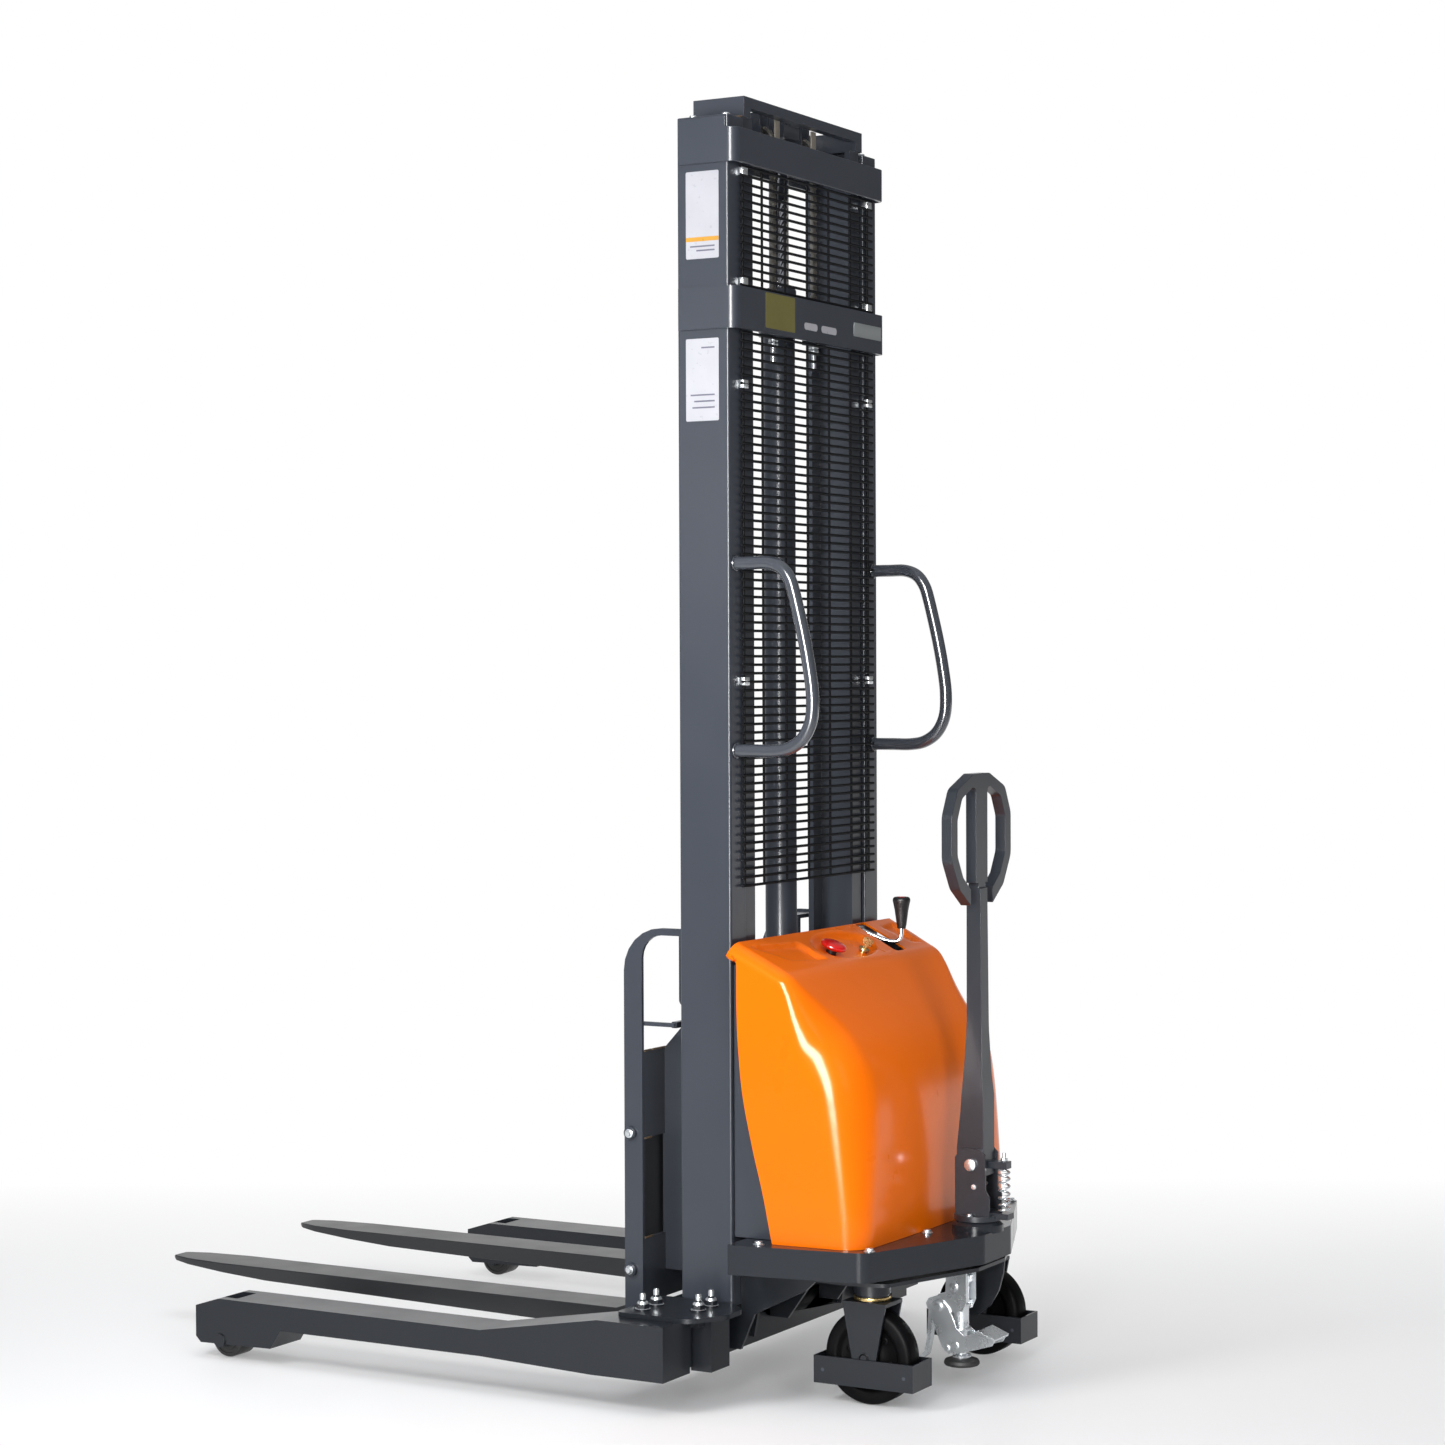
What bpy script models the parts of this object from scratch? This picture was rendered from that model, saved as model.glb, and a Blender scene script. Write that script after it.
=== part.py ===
"""Walkie straddle stacker with a two-stage mast, built as separate sub-parts.

Metres, +X towards the fork tips, +Y to the left, +Z up, floor at z = 0.
Every x below is measured from the rear face of the outer mast, and FRAME_X moves the whole
machine so that its bounding box is centred on the origin.
"""

import math

import bmesh
import bpy
from mathutils import Matrix, Vector

FRAME_X = 0.491

# Mast
MAST_HALF = 0.311
MAST_DEPTH = 0.113
MAST_FOOT = 0.1675
MAST_TOP = 2.437
FLANGE = 0.012
OUTER_FLANGE_TIP = 0.2525
INNER_HALF = 0.248
INNER_FLANGE_TIP = 0.205
INNER_X = (0.006, 0.107)
INNER_FOOT = 0.185
INNER_TOP = 2.480
ROLLER_X = 0.0565
UPPER_BRACE_Z = (2.346, 2.412)
MIDDLE_BRACE_Z = (2.031, 2.1115)
BRACE_REAR = -0.019
CYLINDER = (0.060, 0.0)
CYLINDER_R = 0.0315
CHAIN_Y = 0.085
SHEAVE_Z = 2.415
SHEAVE_R = 0.028
ANCHOR_X = CYLINDER[0] - SHEAVE_R - 0.0048

# Carriage and forks
FORK_Y = 0.223
FORK_HALF_WIDTH = 0.048
FORK_TIP = 1.422
SHANK_X = (0.2258, 0.2558)
FORK_BAR_X = 0.241
FORK_BAR_Z = (0.213, 0.480)
FORK_BAR_R = 0.009
CARRIAGE_SIDE_Y = (0.276, 0.284)

# Straddle legs and wheels
LEG_Y = (0.4375, 0.5375)
LOAD_WHEEL = (1.056, 0.4875, 0.038)
LOAD_WHEEL_R = 0.038
CASTER = (-0.265, 0.245, 0.090)
CASTER_R = 0.090

# Body, tiller and brake
DECK_Z = (0.244, 0.300)
HOOD_HALF = 0.338
TILLER_X = -0.370
TILLER_PIVOT_Z = 0.4275
LOOP_HALF = 0.011
STEER_ARM = 0.070
STEER_PIN_Y = 0.017
BRAKE_X = -0.335

SEGMENTS = 32


# ---------------------------------------------------------------- helpers

def clear_scene():
    for obj in list(bpy.data.objects):
        bpy.data.objects.remove(obj, do_unlink=True)
    for mesh in list(bpy.data.meshes):
        bpy.data.meshes.remove(mesh)


def make_material(name, colour, metallic, roughness):
    material = bpy.data.materials.new(name)
    material.use_nodes = True
    shader = material.node_tree.nodes["Principled BSDF"]
    shader.inputs["Base Color"].default_value = (*colour, 1.0)
    shader.inputs["Metallic"].default_value = metallic
    shader.inputs["Roughness"].default_value = roughness
    material.diffuse_color = (*colour, 1.0)
    return material


def mesh_object(name, bm):
    mesh = bpy.data.meshes.new(name)
    bmesh.ops.recalc_face_normals(bm, faces=bm.faces)
    bm.to_mesh(mesh)
    bm.free()
    obj = bpy.data.objects.new(name, mesh)
    bpy.context.scene.collection.objects.link(obj)
    return obj


def prism(points, axis, start, end):
    """A polygon pushed along an axis. The points are (x, z) for Y, (x, y) for Z and (y, z) for X."""
    places = {
        "X": lambda a, b, c: (c, a, b),
        "Y": lambda a, b, c: (a, c, b),
        "Z": lambda a, b, c: (a, b, c),
    }
    bm = bmesh.new()
    rings = []
    for height in (start, end):
        rings.append([bm.verts.new(places[axis](a, b, height)) for a, b in points])
    bm.faces.new(rings[0])
    bm.faces.new(rings[1])
    count = len(points)
    for i in range(count):
        j = (i + 1) % count
        bm.faces.new((rings[0][i], rings[0][j], rings[1][j], rings[1][i]))
    return mesh_object("solid", bm)


def block(x, y, z):
    return prism(((x[0], y[0]), (x[1], y[0]), (x[1], y[1]), (x[0], y[1])), "Z", z[0], z[1])


def lathe(profile, axis, centre, segments=SEGMENTS, facet_down=False):
    """A solid of revolution from (radius, height) pairs that run along the axis.

    facet_down turns a wheel so that the middle of a facet, and not an edge, meets the floor.
    """
    turns = {
        "Z": Matrix.Identity(4),
        "Y": Matrix.Rotation(math.radians(-90), 4, "X"),
        "X": Matrix.Rotation(math.radians(90), 4, "Y"),
    }
    bm = bmesh.new()
    rings = []
    for radius, height in profile:
        if radius < 1e-9:
            rings.append([bm.verts.new((0.0, 0.0, height))])
            continue
        ring = []
        if facet_down:
            radius /= math.cos(math.pi / segments)
        for i in range(segments):
            angle = 2 * math.pi * (i + (0.5 if facet_down else 0.0)) / segments
            ring.append(bm.verts.new((radius * math.cos(angle), radius * math.sin(angle), height)))
        rings.append(ring)
    closed_loop = profile[0] == profile[-1]
    if closed_loop:
        for vert in rings[-1]:
            bm.verts.remove(vert)
        rings[-1] = rings[0]
    for low, high in zip(rings, rings[1:]):
        for i in range(segments):
            j = (i + 1) % segments
            corners = [low[i % len(low)], low[j % len(low)], high[j % len(high)], high[i % len(high)]]
            unique = list(dict.fromkeys(corners))
            if len(unique) > 2:
                bm.faces.new(unique)
    bm.transform(Matrix.Translation(centre) @ turns[axis])
    return mesh_object("solid", bm)


def rod(axis, centre, radius, start, end, segments=SEGMENTS):
    """A plain cylinder. The centre gives the two coordinates across the axis."""
    spots = {
        "X": (0.0, centre[0], centre[1]),
        "Y": (centre[0], 0.0, centre[1]),
        "Z": (centre[0], centre[1], 0.0),
    }
    profile = ((0.0, start), (radius, start), (radius, end), (0.0, end))
    return lathe(profile, axis, spots[axis], segments)


def hex_head(centre, radius, height):
    points = []
    for i in range(6):
        angle = math.radians(60 * i + 15)
        points.append((centre[0] + radius * math.cos(angle), centre[1] + radius * math.sin(angle)))
    return prism(points, "Z", centre[2], centre[2] + height)


def pipe(points, radius, segments=10):
    """A round bar through the points, with flat ends."""
    path = [Vector(point) for point in points]
    bm = bmesh.new()
    rings = []
    side = None
    for i, spot in enumerate(path):
        before = path[max(i - 1, 0)]
        after = path[min(i + 1, len(path) - 1)]
        along = (after - before).normalized()
        if side is None:
            guess = Vector((0, 0, 1)) if abs(along.z) < 0.9 else Vector((0, 1, 0))
            side = along.cross(guess).normalized()
        side = (side - along * side.dot(along)).normalized()
        up = along.cross(side)
        stretch = 1.0
        if 0 < i < len(path) - 1:
            bend = (spot - before).normalized().dot((after - spot).normalized())
            stretch = 1.0 / max(math.sqrt((1 + bend) / 2), 0.5)
        ring = []
        for k in range(segments):
            angle = 2 * math.pi * k / segments
            offset = side * math.cos(angle) + up * math.sin(angle)
            ring.append(bm.verts.new(spot + offset * radius * min(stretch, 1.1)))
        rings.append(ring)
    bm.faces.new(rings[0])
    bm.faces.new(rings[-1])
    for low, high in zip(rings, rings[1:]):
        for k in range(segments):
            j = (k + 1) % segments
            bm.faces.new((low[k], low[j], high[j], high[k]))
    return mesh_object("solid", bm)


def rounded(corners, steps=3):
    """The corners (a, b, radius) of a polygon as points, each rounded by its radius."""
    points = []
    count = len(corners)
    for i in range(count):
        spot = Vector(corners[i][:2])
        radius = corners[i][2]
        if radius <= 0:
            points.append(tuple(spot))
            continue
        before = (Vector(corners[i - 1][:2]) - spot).normalized()
        after = (Vector(corners[(i + 1) % count][:2]) - spot).normalized()
        half = math.acos(max(-1.0, min(1.0, before.dot(after)))) / 2
        reach = radius / math.tan(half)
        centre = spot + (before + after).normalized() * (radius / math.sin(half))
        first = spot + before * reach - centre
        last = spot + after * reach - centre
        turn = math.atan2(first.x * last.y - first.y * last.x, first.dot(last))
        for k in range(steps + 1):
            angle = turn * k / steps
            cos, sin = math.cos(angle), math.sin(angle)
            turned = Vector((first.x * cos - first.y * sin, first.x * sin + first.y * cos))
            points.append(tuple(centre + turned))
    return points


def mirrored(points):
    return [(a, -b) for a, b in points]


def joined(objects):
    """Several solids that don't meet, as one operand."""
    bm = bmesh.new()
    for obj in objects:
        bm.from_mesh(obj.data)
        bpy.data.objects.remove(obj, do_unlink=True)
    return mesh_object("operand", bm)


def fuse(name, adds, cuts=(), material=None, origin=(0, 0, 0), smooth=True):
    """One named sub-part: the first solid, united with the others, less the cutters."""
    body = adds[0]
    helpers = list(adds[1:]) + list(cuts)
    for i, helper in enumerate(helpers):
        modifier = body.modifiers.new("step", "BOOLEAN")
        modifier.solver = "EXACT"
        modifier.operation = "UNION" if i < len(adds) - 1 else "DIFFERENCE"
        modifier.object = helper
    bpy.context.view_layer.update()
    graph = bpy.context.evaluated_depsgraph_get()
    mesh = bpy.data.meshes.new_from_object(body.evaluated_get(graph))
    mesh.name = name
    for helper in [body] + helpers:
        bpy.data.objects.remove(helper, do_unlink=True)
    mesh.transform(Matrix.Translation(-Vector(origin)))
    bm = bmesh.new()
    bm.from_mesh(mesh)
    bmesh.ops.remove_doubles(bm, verts=bm.verts, dist=1e-6)
    bmesh.ops.dissolve_limit(bm, angle_limit=math.radians(0.5), verts=bm.verts, edges=bm.edges)
    bmesh.ops.recalc_face_normals(bm, faces=bm.faces)
    bm.to_mesh(mesh)
    bm.free()
    mesh.materials.clear()
    mesh.materials.append(material)
    if smooth:
        mesh.shade_smooth()
        mesh.set_sharp_from_angle(angle=math.radians(35))
    obj = bpy.data.objects.new(name, mesh)
    obj.location = Vector(origin) + Vector((-FRAME_X, 0, 0))
    stacker.objects.link(obj)
    return obj


clear_scene()
stacker = bpy.data.collections.new("walkie_stacker")
bpy.context.scene.collection.children.link(stacker)

STEEL_GREY = make_material("painted_steel", (0.052, 0.058, 0.066), 0.0, 0.42)
ORANGE = make_material("orange_hood", (1.0, 0.235, 0.005), 0.0, 0.30)
BLACK_RUBBER = make_material("black_rubber", (0.015, 0.015, 0.016), 0.0, 0.75)
BLACK_PLASTIC = make_material("black_plastic", (0.02, 0.02, 0.022), 0.0, 0.5)
ZINC = make_material("zinc_plate", (0.55, 0.58, 0.60), 1.0, 0.32)
CHROME = make_material("chrome", (0.8, 0.8, 0.82), 1.0, 0.08)
CHAIN_STEEL = make_material("chain_steel", (0.30, 0.29, 0.27), 1.0, 0.40)
RED = make_material("red_button", (0.75, 0.01, 0.01), 0.0, 0.30)
POLYURETHANE = make_material("dark_polyurethane", (0.03, 0.03, 0.033), 0.0, 0.5)
BRASS = make_material("key_brass", (0.55, 0.40, 0.16), 1.0, 0.3)
WIRE = make_material("black_wire", (0.012, 0.013, 0.016), 0.2, 0.45)


# ---------------------------------------------------------------- outer mast

def channel(side, x, outer, web, tip, z):
    """A C section that opens towards the centre plane."""
    points = (
        (x[0], tip), (x[0] + FLANGE, tip), (x[0] + FLANGE, outer - web), (x[1] - FLANGE, outer - web),
        (x[1] - FLANGE, tip), (x[1], tip), (x[1], outer - 0.003), (x[1] - 0.003, outer),
        (x[0] + 0.003, outer), (x[0], outer - 0.003),
    )
    return prism([(a, side * b) for a, b in points], "Z", z[0], z[1])


def build_outer_mast():
    for side, word in ((1, "left"), (-1, "right")):
        section = channel(side, (0.0, MAST_DEPTH), MAST_HALF, 0.008, OUTER_FLANGE_TIP, (MAST_FOOT, MAST_TOP))
        fuse(f"outer_mast_{word}", [section], material=STEEL_GREY)
    braces = (("upper_brace", UPPER_BRACE_Z, MAST_TOP - 0.004), ("middle_brace", MIDDLE_BRACE_Z, None))
    for name, z, arm_top in braces:
        out = MAST_HALF + 0.0053
        outline = rounded((
            (0.108, -out, 0), (BRACE_REAR, -out, 0.020), (BRACE_REAR, out, 0.020), (0.108, out, 0),
            (0.108, out - 0.005, 0), (BRACE_REAR + 0.008, out - 0.005, 0.012),
            (BRACE_REAR + 0.008, 0.005 - out, 0.012), (0.108, 0.005 - out, 0),
        ), 4)
        solids = [prism(outline, "Z", z[0], z[1])]
        cuts = []
        if name == "upper_brace":
            for side in (1, -1):
                arm = sorted((side * (out - 0.005), side * out))
                solids.append(block((0.004, 0.108), arm, (z[0] + 0.01, arm_top)))
        else:
            clamp = lathe(((0.0325, 2.045), (0.041, 2.045), (0.041, 2.095), (0.0325, 2.095),
                           (0.0325, 2.045)),
                          "Z", (*CYLINDER, 0.0), 24)
            solids.append(block((BRACE_REAR + 0.007, 0.024), (-0.012, 0.012), (2.045, 2.095)))
            solids.append(clamp)
            for side in (1, -1):
                y = side * CHAIN_Y
                solids.append(block((BRACE_REAR + 0.007, 0.045), (y - 0.016, y + 0.016), (2.034, 2.046)))
                cuts.append(rod("Z", (ANCHOR_X, y), 0.0056, 2.0, 2.06, 12))
        fuse(name, solids, cuts, STEEL_GREY)


def build_mesh_guards():
    half = 0.2765
    for name, z, rows in (("mesh_guard_upper", (2.114, 2.3445), 5),
                          ("mesh_guard_lower", (0.966, 2.029), 22)):
        bar = 0.0034
        plate = block((-0.0100, -0.0066), (-half, half), z)
        uprights = (-half, -0.092, 0.092, half)
        step = (z[1] - z[0] - bar) / rows
        cutters = []
        for k in range(rows):
            low = z[0] + bar + k * step
            for left, right in zip(uprights, uprights[1:]):
                cutters.append(block((-0.02, 0.0), (left + bar, right - bar), (low, low + step - bar)))
        solids = [plate]
        clip_rows = {"mesh_guard_upper": (2.130, 2.335), "mesh_guard_lower": (1.930, 1.360)}[name]
        for height in clip_rows:
            for side in (1, -1):
                y = sorted((side * 0.2600, side * 0.2790))
                solids.append(block((-0.0100, -0.0003), y, (height - 0.005, height + 0.005)))
        fuse(name, solids, [joined(cutters)], WIRE, smooth=False)


def build_grab_handles():
    path = (
        (-0.0003, 1.585), (-0.070, 1.585), (-0.094, 1.580), (-0.112, 1.566), (-0.124, 1.545),
        (-0.150, 1.440), (-0.166, 1.345), (-0.168, 1.310), (-0.160, 1.275), (-0.140, 1.248),
        (-0.108, 1.231), (-0.080, 1.228), (-0.0003, 1.228),
    )
    for side, word in ((1, "left"), (-1, "right")):
        y = side * 0.2910
        bar = pipe([(x, y, z) for x, z in path], 0.0125, 10)
        pads = []
        for z in (1.585, 1.228):
            pads.append(block((-0.006, -0.0003), (y - 0.0190, y + 0.0190), (z - 0.022, z + 0.022)))
        fuse(f"grab_handle_{word}", [bar] + pads, material=STEEL_GREY)


def build_cylinder():
    x, y = CYLINDER
    profile = (
        (0.0, 0.1560), (0.040, 0.1560), (0.040, 0.1840), (CYLINDER_R, 0.1880), (CYLINDER_R, 2.100),
        (0.0345, 2.103), (0.0345, 2.140), (0.0207, 2.140), (0.0207, 0.310), (0.0, 0.310),
    )
    port = rod("X", (0.0, 0.1715), 0.010, 0.006, 0.045, 12)
    fuse("lift_cylinder", [lathe(profile, "Z", (x, y, 0.0), 24), port], material=STEEL_GREY)


def chain_section(y, x, z):
    return block((x - 0.0045, x + 0.0045), (y - 0.0085, y + 0.0085), z)


def build_rear_chains():
    x = ANCHOR_X
    for side, word in ((1, "left"), (-1, "right")):
        y = side * CHAIN_Y
        strand = chain_section(y, x, (2.060, SHEAVE_Z - 0.0003))
        end = block((x - 0.0085, x + 0.0085), (y - 0.0125, y + 0.0125), (2.0475, 2.075))
        bolt = rod("Z", (x, y), 0.0050, 1.985, 2.050, 12)
        nut = hex_head((x, y, 2.0180), 0.0110, 0.0155)
        fuse(f"lift_chain_rear_{word}", [strand, end, bolt, nut], material=CHAIN_STEEL)


# ---------------------------------------------------------------- inner mast

def build_inner_mast():
    solids = []
    for side in (1, -1):
        solids.append(channel(side, INNER_X, INNER_HALF, 0.008, INNER_FLANGE_TIP, (INNER_FOOT, 2.441)))
        solids.append(block((0.0, 0.112), sorted((side * 0.222, side * INNER_HALF)), (2.4405, INNER_TOP)))
    solids.append(block((0.1015, 0.1095), (-0.223, 0.223), (2.365, INNER_TOP)))
    solids.append(block((0.0, 0.020), (-0.223, 0.223), (2.460, INNER_TOP)))
    solids.append(block((0.0, 0.112), (-0.020, 0.020), (2.4605, INNER_TOP)))
    solids.append(block((0.030, 0.105), (-0.032, 0.032), (2.4355, 2.462)))
    for side in (1, -1):
        for y in (0.066, 0.098):
            ends = sorted((side * y, side * (y + 0.006)))
            solids.append(block((0.045, 0.105), ends, (2.395, 2.475)))
        solids.append(rod("Y", (CYLINDER[0], SHEAVE_Z), 0.008, *sorted((side * 0.066, side * 0.104)), 12))
    solids.append(block((0.008, 0.018), (-0.2055, 0.2055), (0.190, 0.250)))
    fuse("inner_mast", solids, material=STEEL_GREY)


def build_rollers():
    for side, word in ((1, "left"), (-1, "right")):
        profile = ((0.0, side * 0.2483), (0.012, side * 0.2483), (0.012, side * 0.264),
                   (0.0435, side * 0.2655),
                   (0.0435, side * 0.298), (0.0, side * 0.298))
        fuse(f"mast_roller_{word}", [lathe(profile, "Y", (ROLLER_X, 0.0, 0.245), 20)], material=CHAIN_STEEL,
             origin=(ROLLER_X, side * 0.28, 0.245))
        for level, z in (("lower", 0.265), ("upper", 0.600)):
            profile = ((0.0, side * 0.1965), (0.012, side * 0.1965), (0.012, side * 0.2065),
                       (0.0375, side * 0.208), (0.0375, side * 0.2365), (0.0, side * 0.2365))
            fuse(f"carriage_roller_{level}_{word}", [lathe(profile, "Y", (ROLLER_X, 0.0, z), 20)],
                 material=CHAIN_STEEL, origin=(ROLLER_X, side * 0.222, z))


def build_rod_and_chains():
    profile = ((0.0, 0.330), (0.0200, 0.330), (0.0200, 2.420), (0.013, 2.424), (0.013, 2.4350),
               (0.0, 2.4350))
    fuse("piston_rod", [lathe(profile, "Z", (*CYLINDER, 0.0), 20)], material=CHROME)
    inner, outer = SHEAVE_R + 0.0003, SHEAVE_R + 0.0093
    for side, word in ((1, "left"), (-1, "right")):
        y = side * CHAIN_Y
        sheave = ((0.0086, -0.0125), (0.034, -0.0125), (0.034, -0.0100), (SHEAVE_R, -0.0095),
                  (SHEAVE_R, 0.0095), (0.034, 0.0100), (0.034, 0.0125), (0.0086, 0.0125), (0.0086, -0.0125))
        wheel = lathe(sheave, "Y", (CYLINDER[0], y, SHEAVE_Z), 20)
        fuse(f"chain_sheave_{word}", [wheel], material=CHAIN_STEEL,
             origin=(CYLINDER[0], y, SHEAVE_Z))
        outline = []
        for radius, order in ((outer, 1), (inner, -1)):
            arc = [math.pi * k / 12 for k in range(13)][::order]
            outline += [(CYLINDER[0] + radius * math.cos(a), SHEAVE_Z + radius * math.sin(a)) for a in arc]
        bend = prism(outline, "Y", y - 0.0085, y + 0.0085)
        x = CYLINDER[0] + SHEAVE_R + 0.0048
        strand = chain_section(y, x, (0.655, SHEAVE_Z + 0.001))
        fork = block((x - 0.0065, x + 0.0065), (y - 0.0115, y + 0.0115), (0.6325, 0.670))
        fuse(f"lift_chain_front_{word}", [bend, strand, fork], material=CHAIN_STEEL)


# ---------------------------------------------------------------- carriage and forks

def build_carriage():
    profile = rounded((
        (0.2155, 0.160, 0), (0.238, 0.136, 0), (0.256, 0.136, 0), (0.256, 0.882, 0.085),
        (0.118, 0.882, 0), (0.118, 0.868, 0), (0.2155, 0.868, 0.045),
    ), 6)
    solids = [
        block((0.216, 0.225), (-0.2765, 0.2765), (0.148, 0.275)),
        block((0.216, 0.225), (-0.2765, 0.2765), (0.470, 0.640)),
    ]
    for side in (1, -1):
        low, high = sorted((side * CARRIAGE_SIDE_Y[0], side * CARRIAGE_SIDE_Y[1]))
        solids.append(prism(profile, "Y", low, high))
        plate = (
            (0.028, 0.225), (0.085, 0.202), (0.221, 0.202), (0.221, 0.634), (0.160, 0.700),
            (0.160, 0.872), (0.121, 0.872), (0.121, 0.700), (0.085, 0.662), (0.028, 0.640),
        )
        solids.append(prism(plate, "Y", *sorted((side * 0.186, side * 0.196))))
        solids.append(block((0.1225, 0.158), sorted((side * 0.190, side * 0.280)), (0.869, 0.877)))
        solids.append(block((0.144, 0.155), sorted((side * 0.190, side * 0.2720)), (0.688, 0.700)))
        solids.append(block((0.146, 0.226), sorted((side * 0.270, side * 0.2775)), (0.690, 0.698)))
        for y in (0.070, 0.140):
            solids.append(block((0.2165, 0.2235), sorted((side * y, side * (y + 0.020))), (0.265, 0.480)))
        y = side * CHAIN_Y
        solids.append(block((0.0855, 0.218), (y - 0.015, y + 0.015), (0.606, 0.632)))
    cuts = []
    for z in FORK_BAR_Z:
        cuts.append(rod("Y", (FORK_BAR_X, z), FORK_BAR_R + 0.0005, -0.4, 0.4, 16))
    fuse("fork_carriage", solids, cuts, STEEL_GREY)
    for word, z in zip(("lower", "upper"), FORK_BAR_Z):
        end = CARRIAGE_SIDE_Y[1] + 0.0003
        profile = (
            (0.0, -end - 0.009), (0.013, -end - 0.009), (0.013, -end), (FORK_BAR_R, -end), (FORK_BAR_R, end),
            (0.013, end), (0.013, end + 0.009), (0.0, end + 0.009),
        )
        fuse(f"fork_bar_{word}", [lathe(profile, "Y", (FORK_BAR_X, 0.0, z), 16)], material=ZINC)


def build_forks():
    top, heel, knee = 0.131, 0.087, 0.280
    outline = (
        (SHANK_X[0], 0.5100), (SHANK_X[0], heel + 0.030), (SHANK_X[0] + 0.012, heel + 0.008),
        (knee - 0.020, heel),
        (0.550, heel + 0.006), (1.150, 0.104), (FORK_TIP - 0.006, 0.121), (FORK_TIP, 0.124),
        (FORK_TIP, 0.128),
        (FORK_TIP - 0.010, top), (SHANK_X[1] + 0.030, top), (SHANK_X[1] + 0.008, top + 0.008),
        (SHANK_X[1], top + 0.030), (SHANK_X[1], 0.5100), (SHANK_X[1] - 0.008, 0.520),
        (SHANK_X[0] + 0.008, 0.520),
    )
    for side, word in ((1, "left"), (-1, "right")):
        y = side * FORK_Y
        body = prism(outline, "Y", y - FORK_HALF_WIDTH, y + FORK_HALF_WIDTH)
        cuts = [rod("Y", (FORK_BAR_X, z), FORK_BAR_R + 0.0006, y - 0.1, y + 0.1, 16) for z in FORK_BAR_Z]
        for flip in (1, -1):
            edge = y + flip * FORK_HALF_WIDTH
            tip = ((FORK_TIP - 0.160, edge + flip * 0.01), (FORK_TIP - 0.160, edge),
                   (FORK_TIP - 0.060, edge - flip * 0.010),
                   (FORK_TIP - 0.016, edge - flip * 0.024), (FORK_TIP + 0.002, edge - flip * 0.040),
                   (FORK_TIP + 0.01, edge - flip * 0.042), (FORK_TIP + 0.01, edge + flip * 0.01))
            cuts.append(prism(tip, "Z", 0.05, 0.2))
        fuse(f"fork_{word}", [body], cuts, STEEL_GREY, origin=(FORK_BAR_X, y, FORK_BAR_Z[1]))


# ---------------------------------------------------------------- base, legs and wheels

def build_base():
    plate = rounded((
        (-0.002, -0.290, 0), (-0.002, 0.290, 0), (-0.240, 0.305, 0), (-0.318, 0.290, 0.02),
        (-0.400, 0.060, 0.01),
        (-0.400, -0.060, 0.01), (-0.318, -0.290, 0.02), (-0.240, -0.305, 0),
    ), 3)
    solids = [
        block((0.030, 0.180), (-0.4368, 0.4368), (0.070, 0.1550)),
        prism(plate, "Z", 0.2290, 0.2360),
        block((0.0145, 0.120), (-0.045, 0.045), (0.150, 0.1556)),
    ]
    cuts = [rod("Z", (TILLER_X, 0.0), 0.0127, 0.2, 0.25, 20), rod("Z", (-0.015, 0.0), 0.0140, 0.2, 0.25, 16)]
    for side in (1, -1):
        solids.append(block((0.002, 0.150), sorted((side * 0.246, side * 0.4366)), (0.150, 0.1670)))
        solids.append(block((-0.012, 0.032), sorted((side * 0.345, side * 0.415)), (0.063, 0.1670)))
        web = (
            (0.060, 0.080), (0.060, 0.160), (-0.0010, 0.160), (-0.0010, 0.232), (-0.170, 0.232),
            (-0.140, 0.205),
            (-0.030, 0.150), (0.000, 0.080),
        )
        solids.append(prism(web, "Y", *sorted((side * 0.272, side * 0.280))))
        inner_web = (
            (0.040, 0.110), (0.040, 0.150), (-0.0010, 0.150), (-0.0010, 0.232), (-0.290, 0.232),
            (-0.260, 0.215),
            (-0.060, 0.180), (-0.010, 0.110),
        )
        solids.append(prism(inner_web, "Y", *sorted((side * 0.100, side * 0.108))))
        rib = ((0.035, 0.085), (0.035, 0.150), (0.010, 0.150), (0.022, 0.085))
        solids.append(prism(rib, "Y", *sorted((side * 0.180, side * 0.188))))
        y = side * CASTER[1]
        solids.append(rod("Z", (CASTER[0], y), 0.036, 0.2085, 0.230, 24))
        cuts.append(rod("Z", (CASTER[0], y), 0.0127, 0.19, 0.25, 20))
    gusset = (
        (-0.300, 0.232), (-0.389, 0.232), (-0.386, 0.200), (-0.376, 0.165), (-0.358, 0.134), (-0.332, 0.114),
        (-0.306, 0.108), (-0.300, 0.120),
    )
    solids.append(prism(gusset, "Y", -0.0880, -0.0820))
    fuse("base_frame", solids, cuts, STEEL_GREY)


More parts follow.
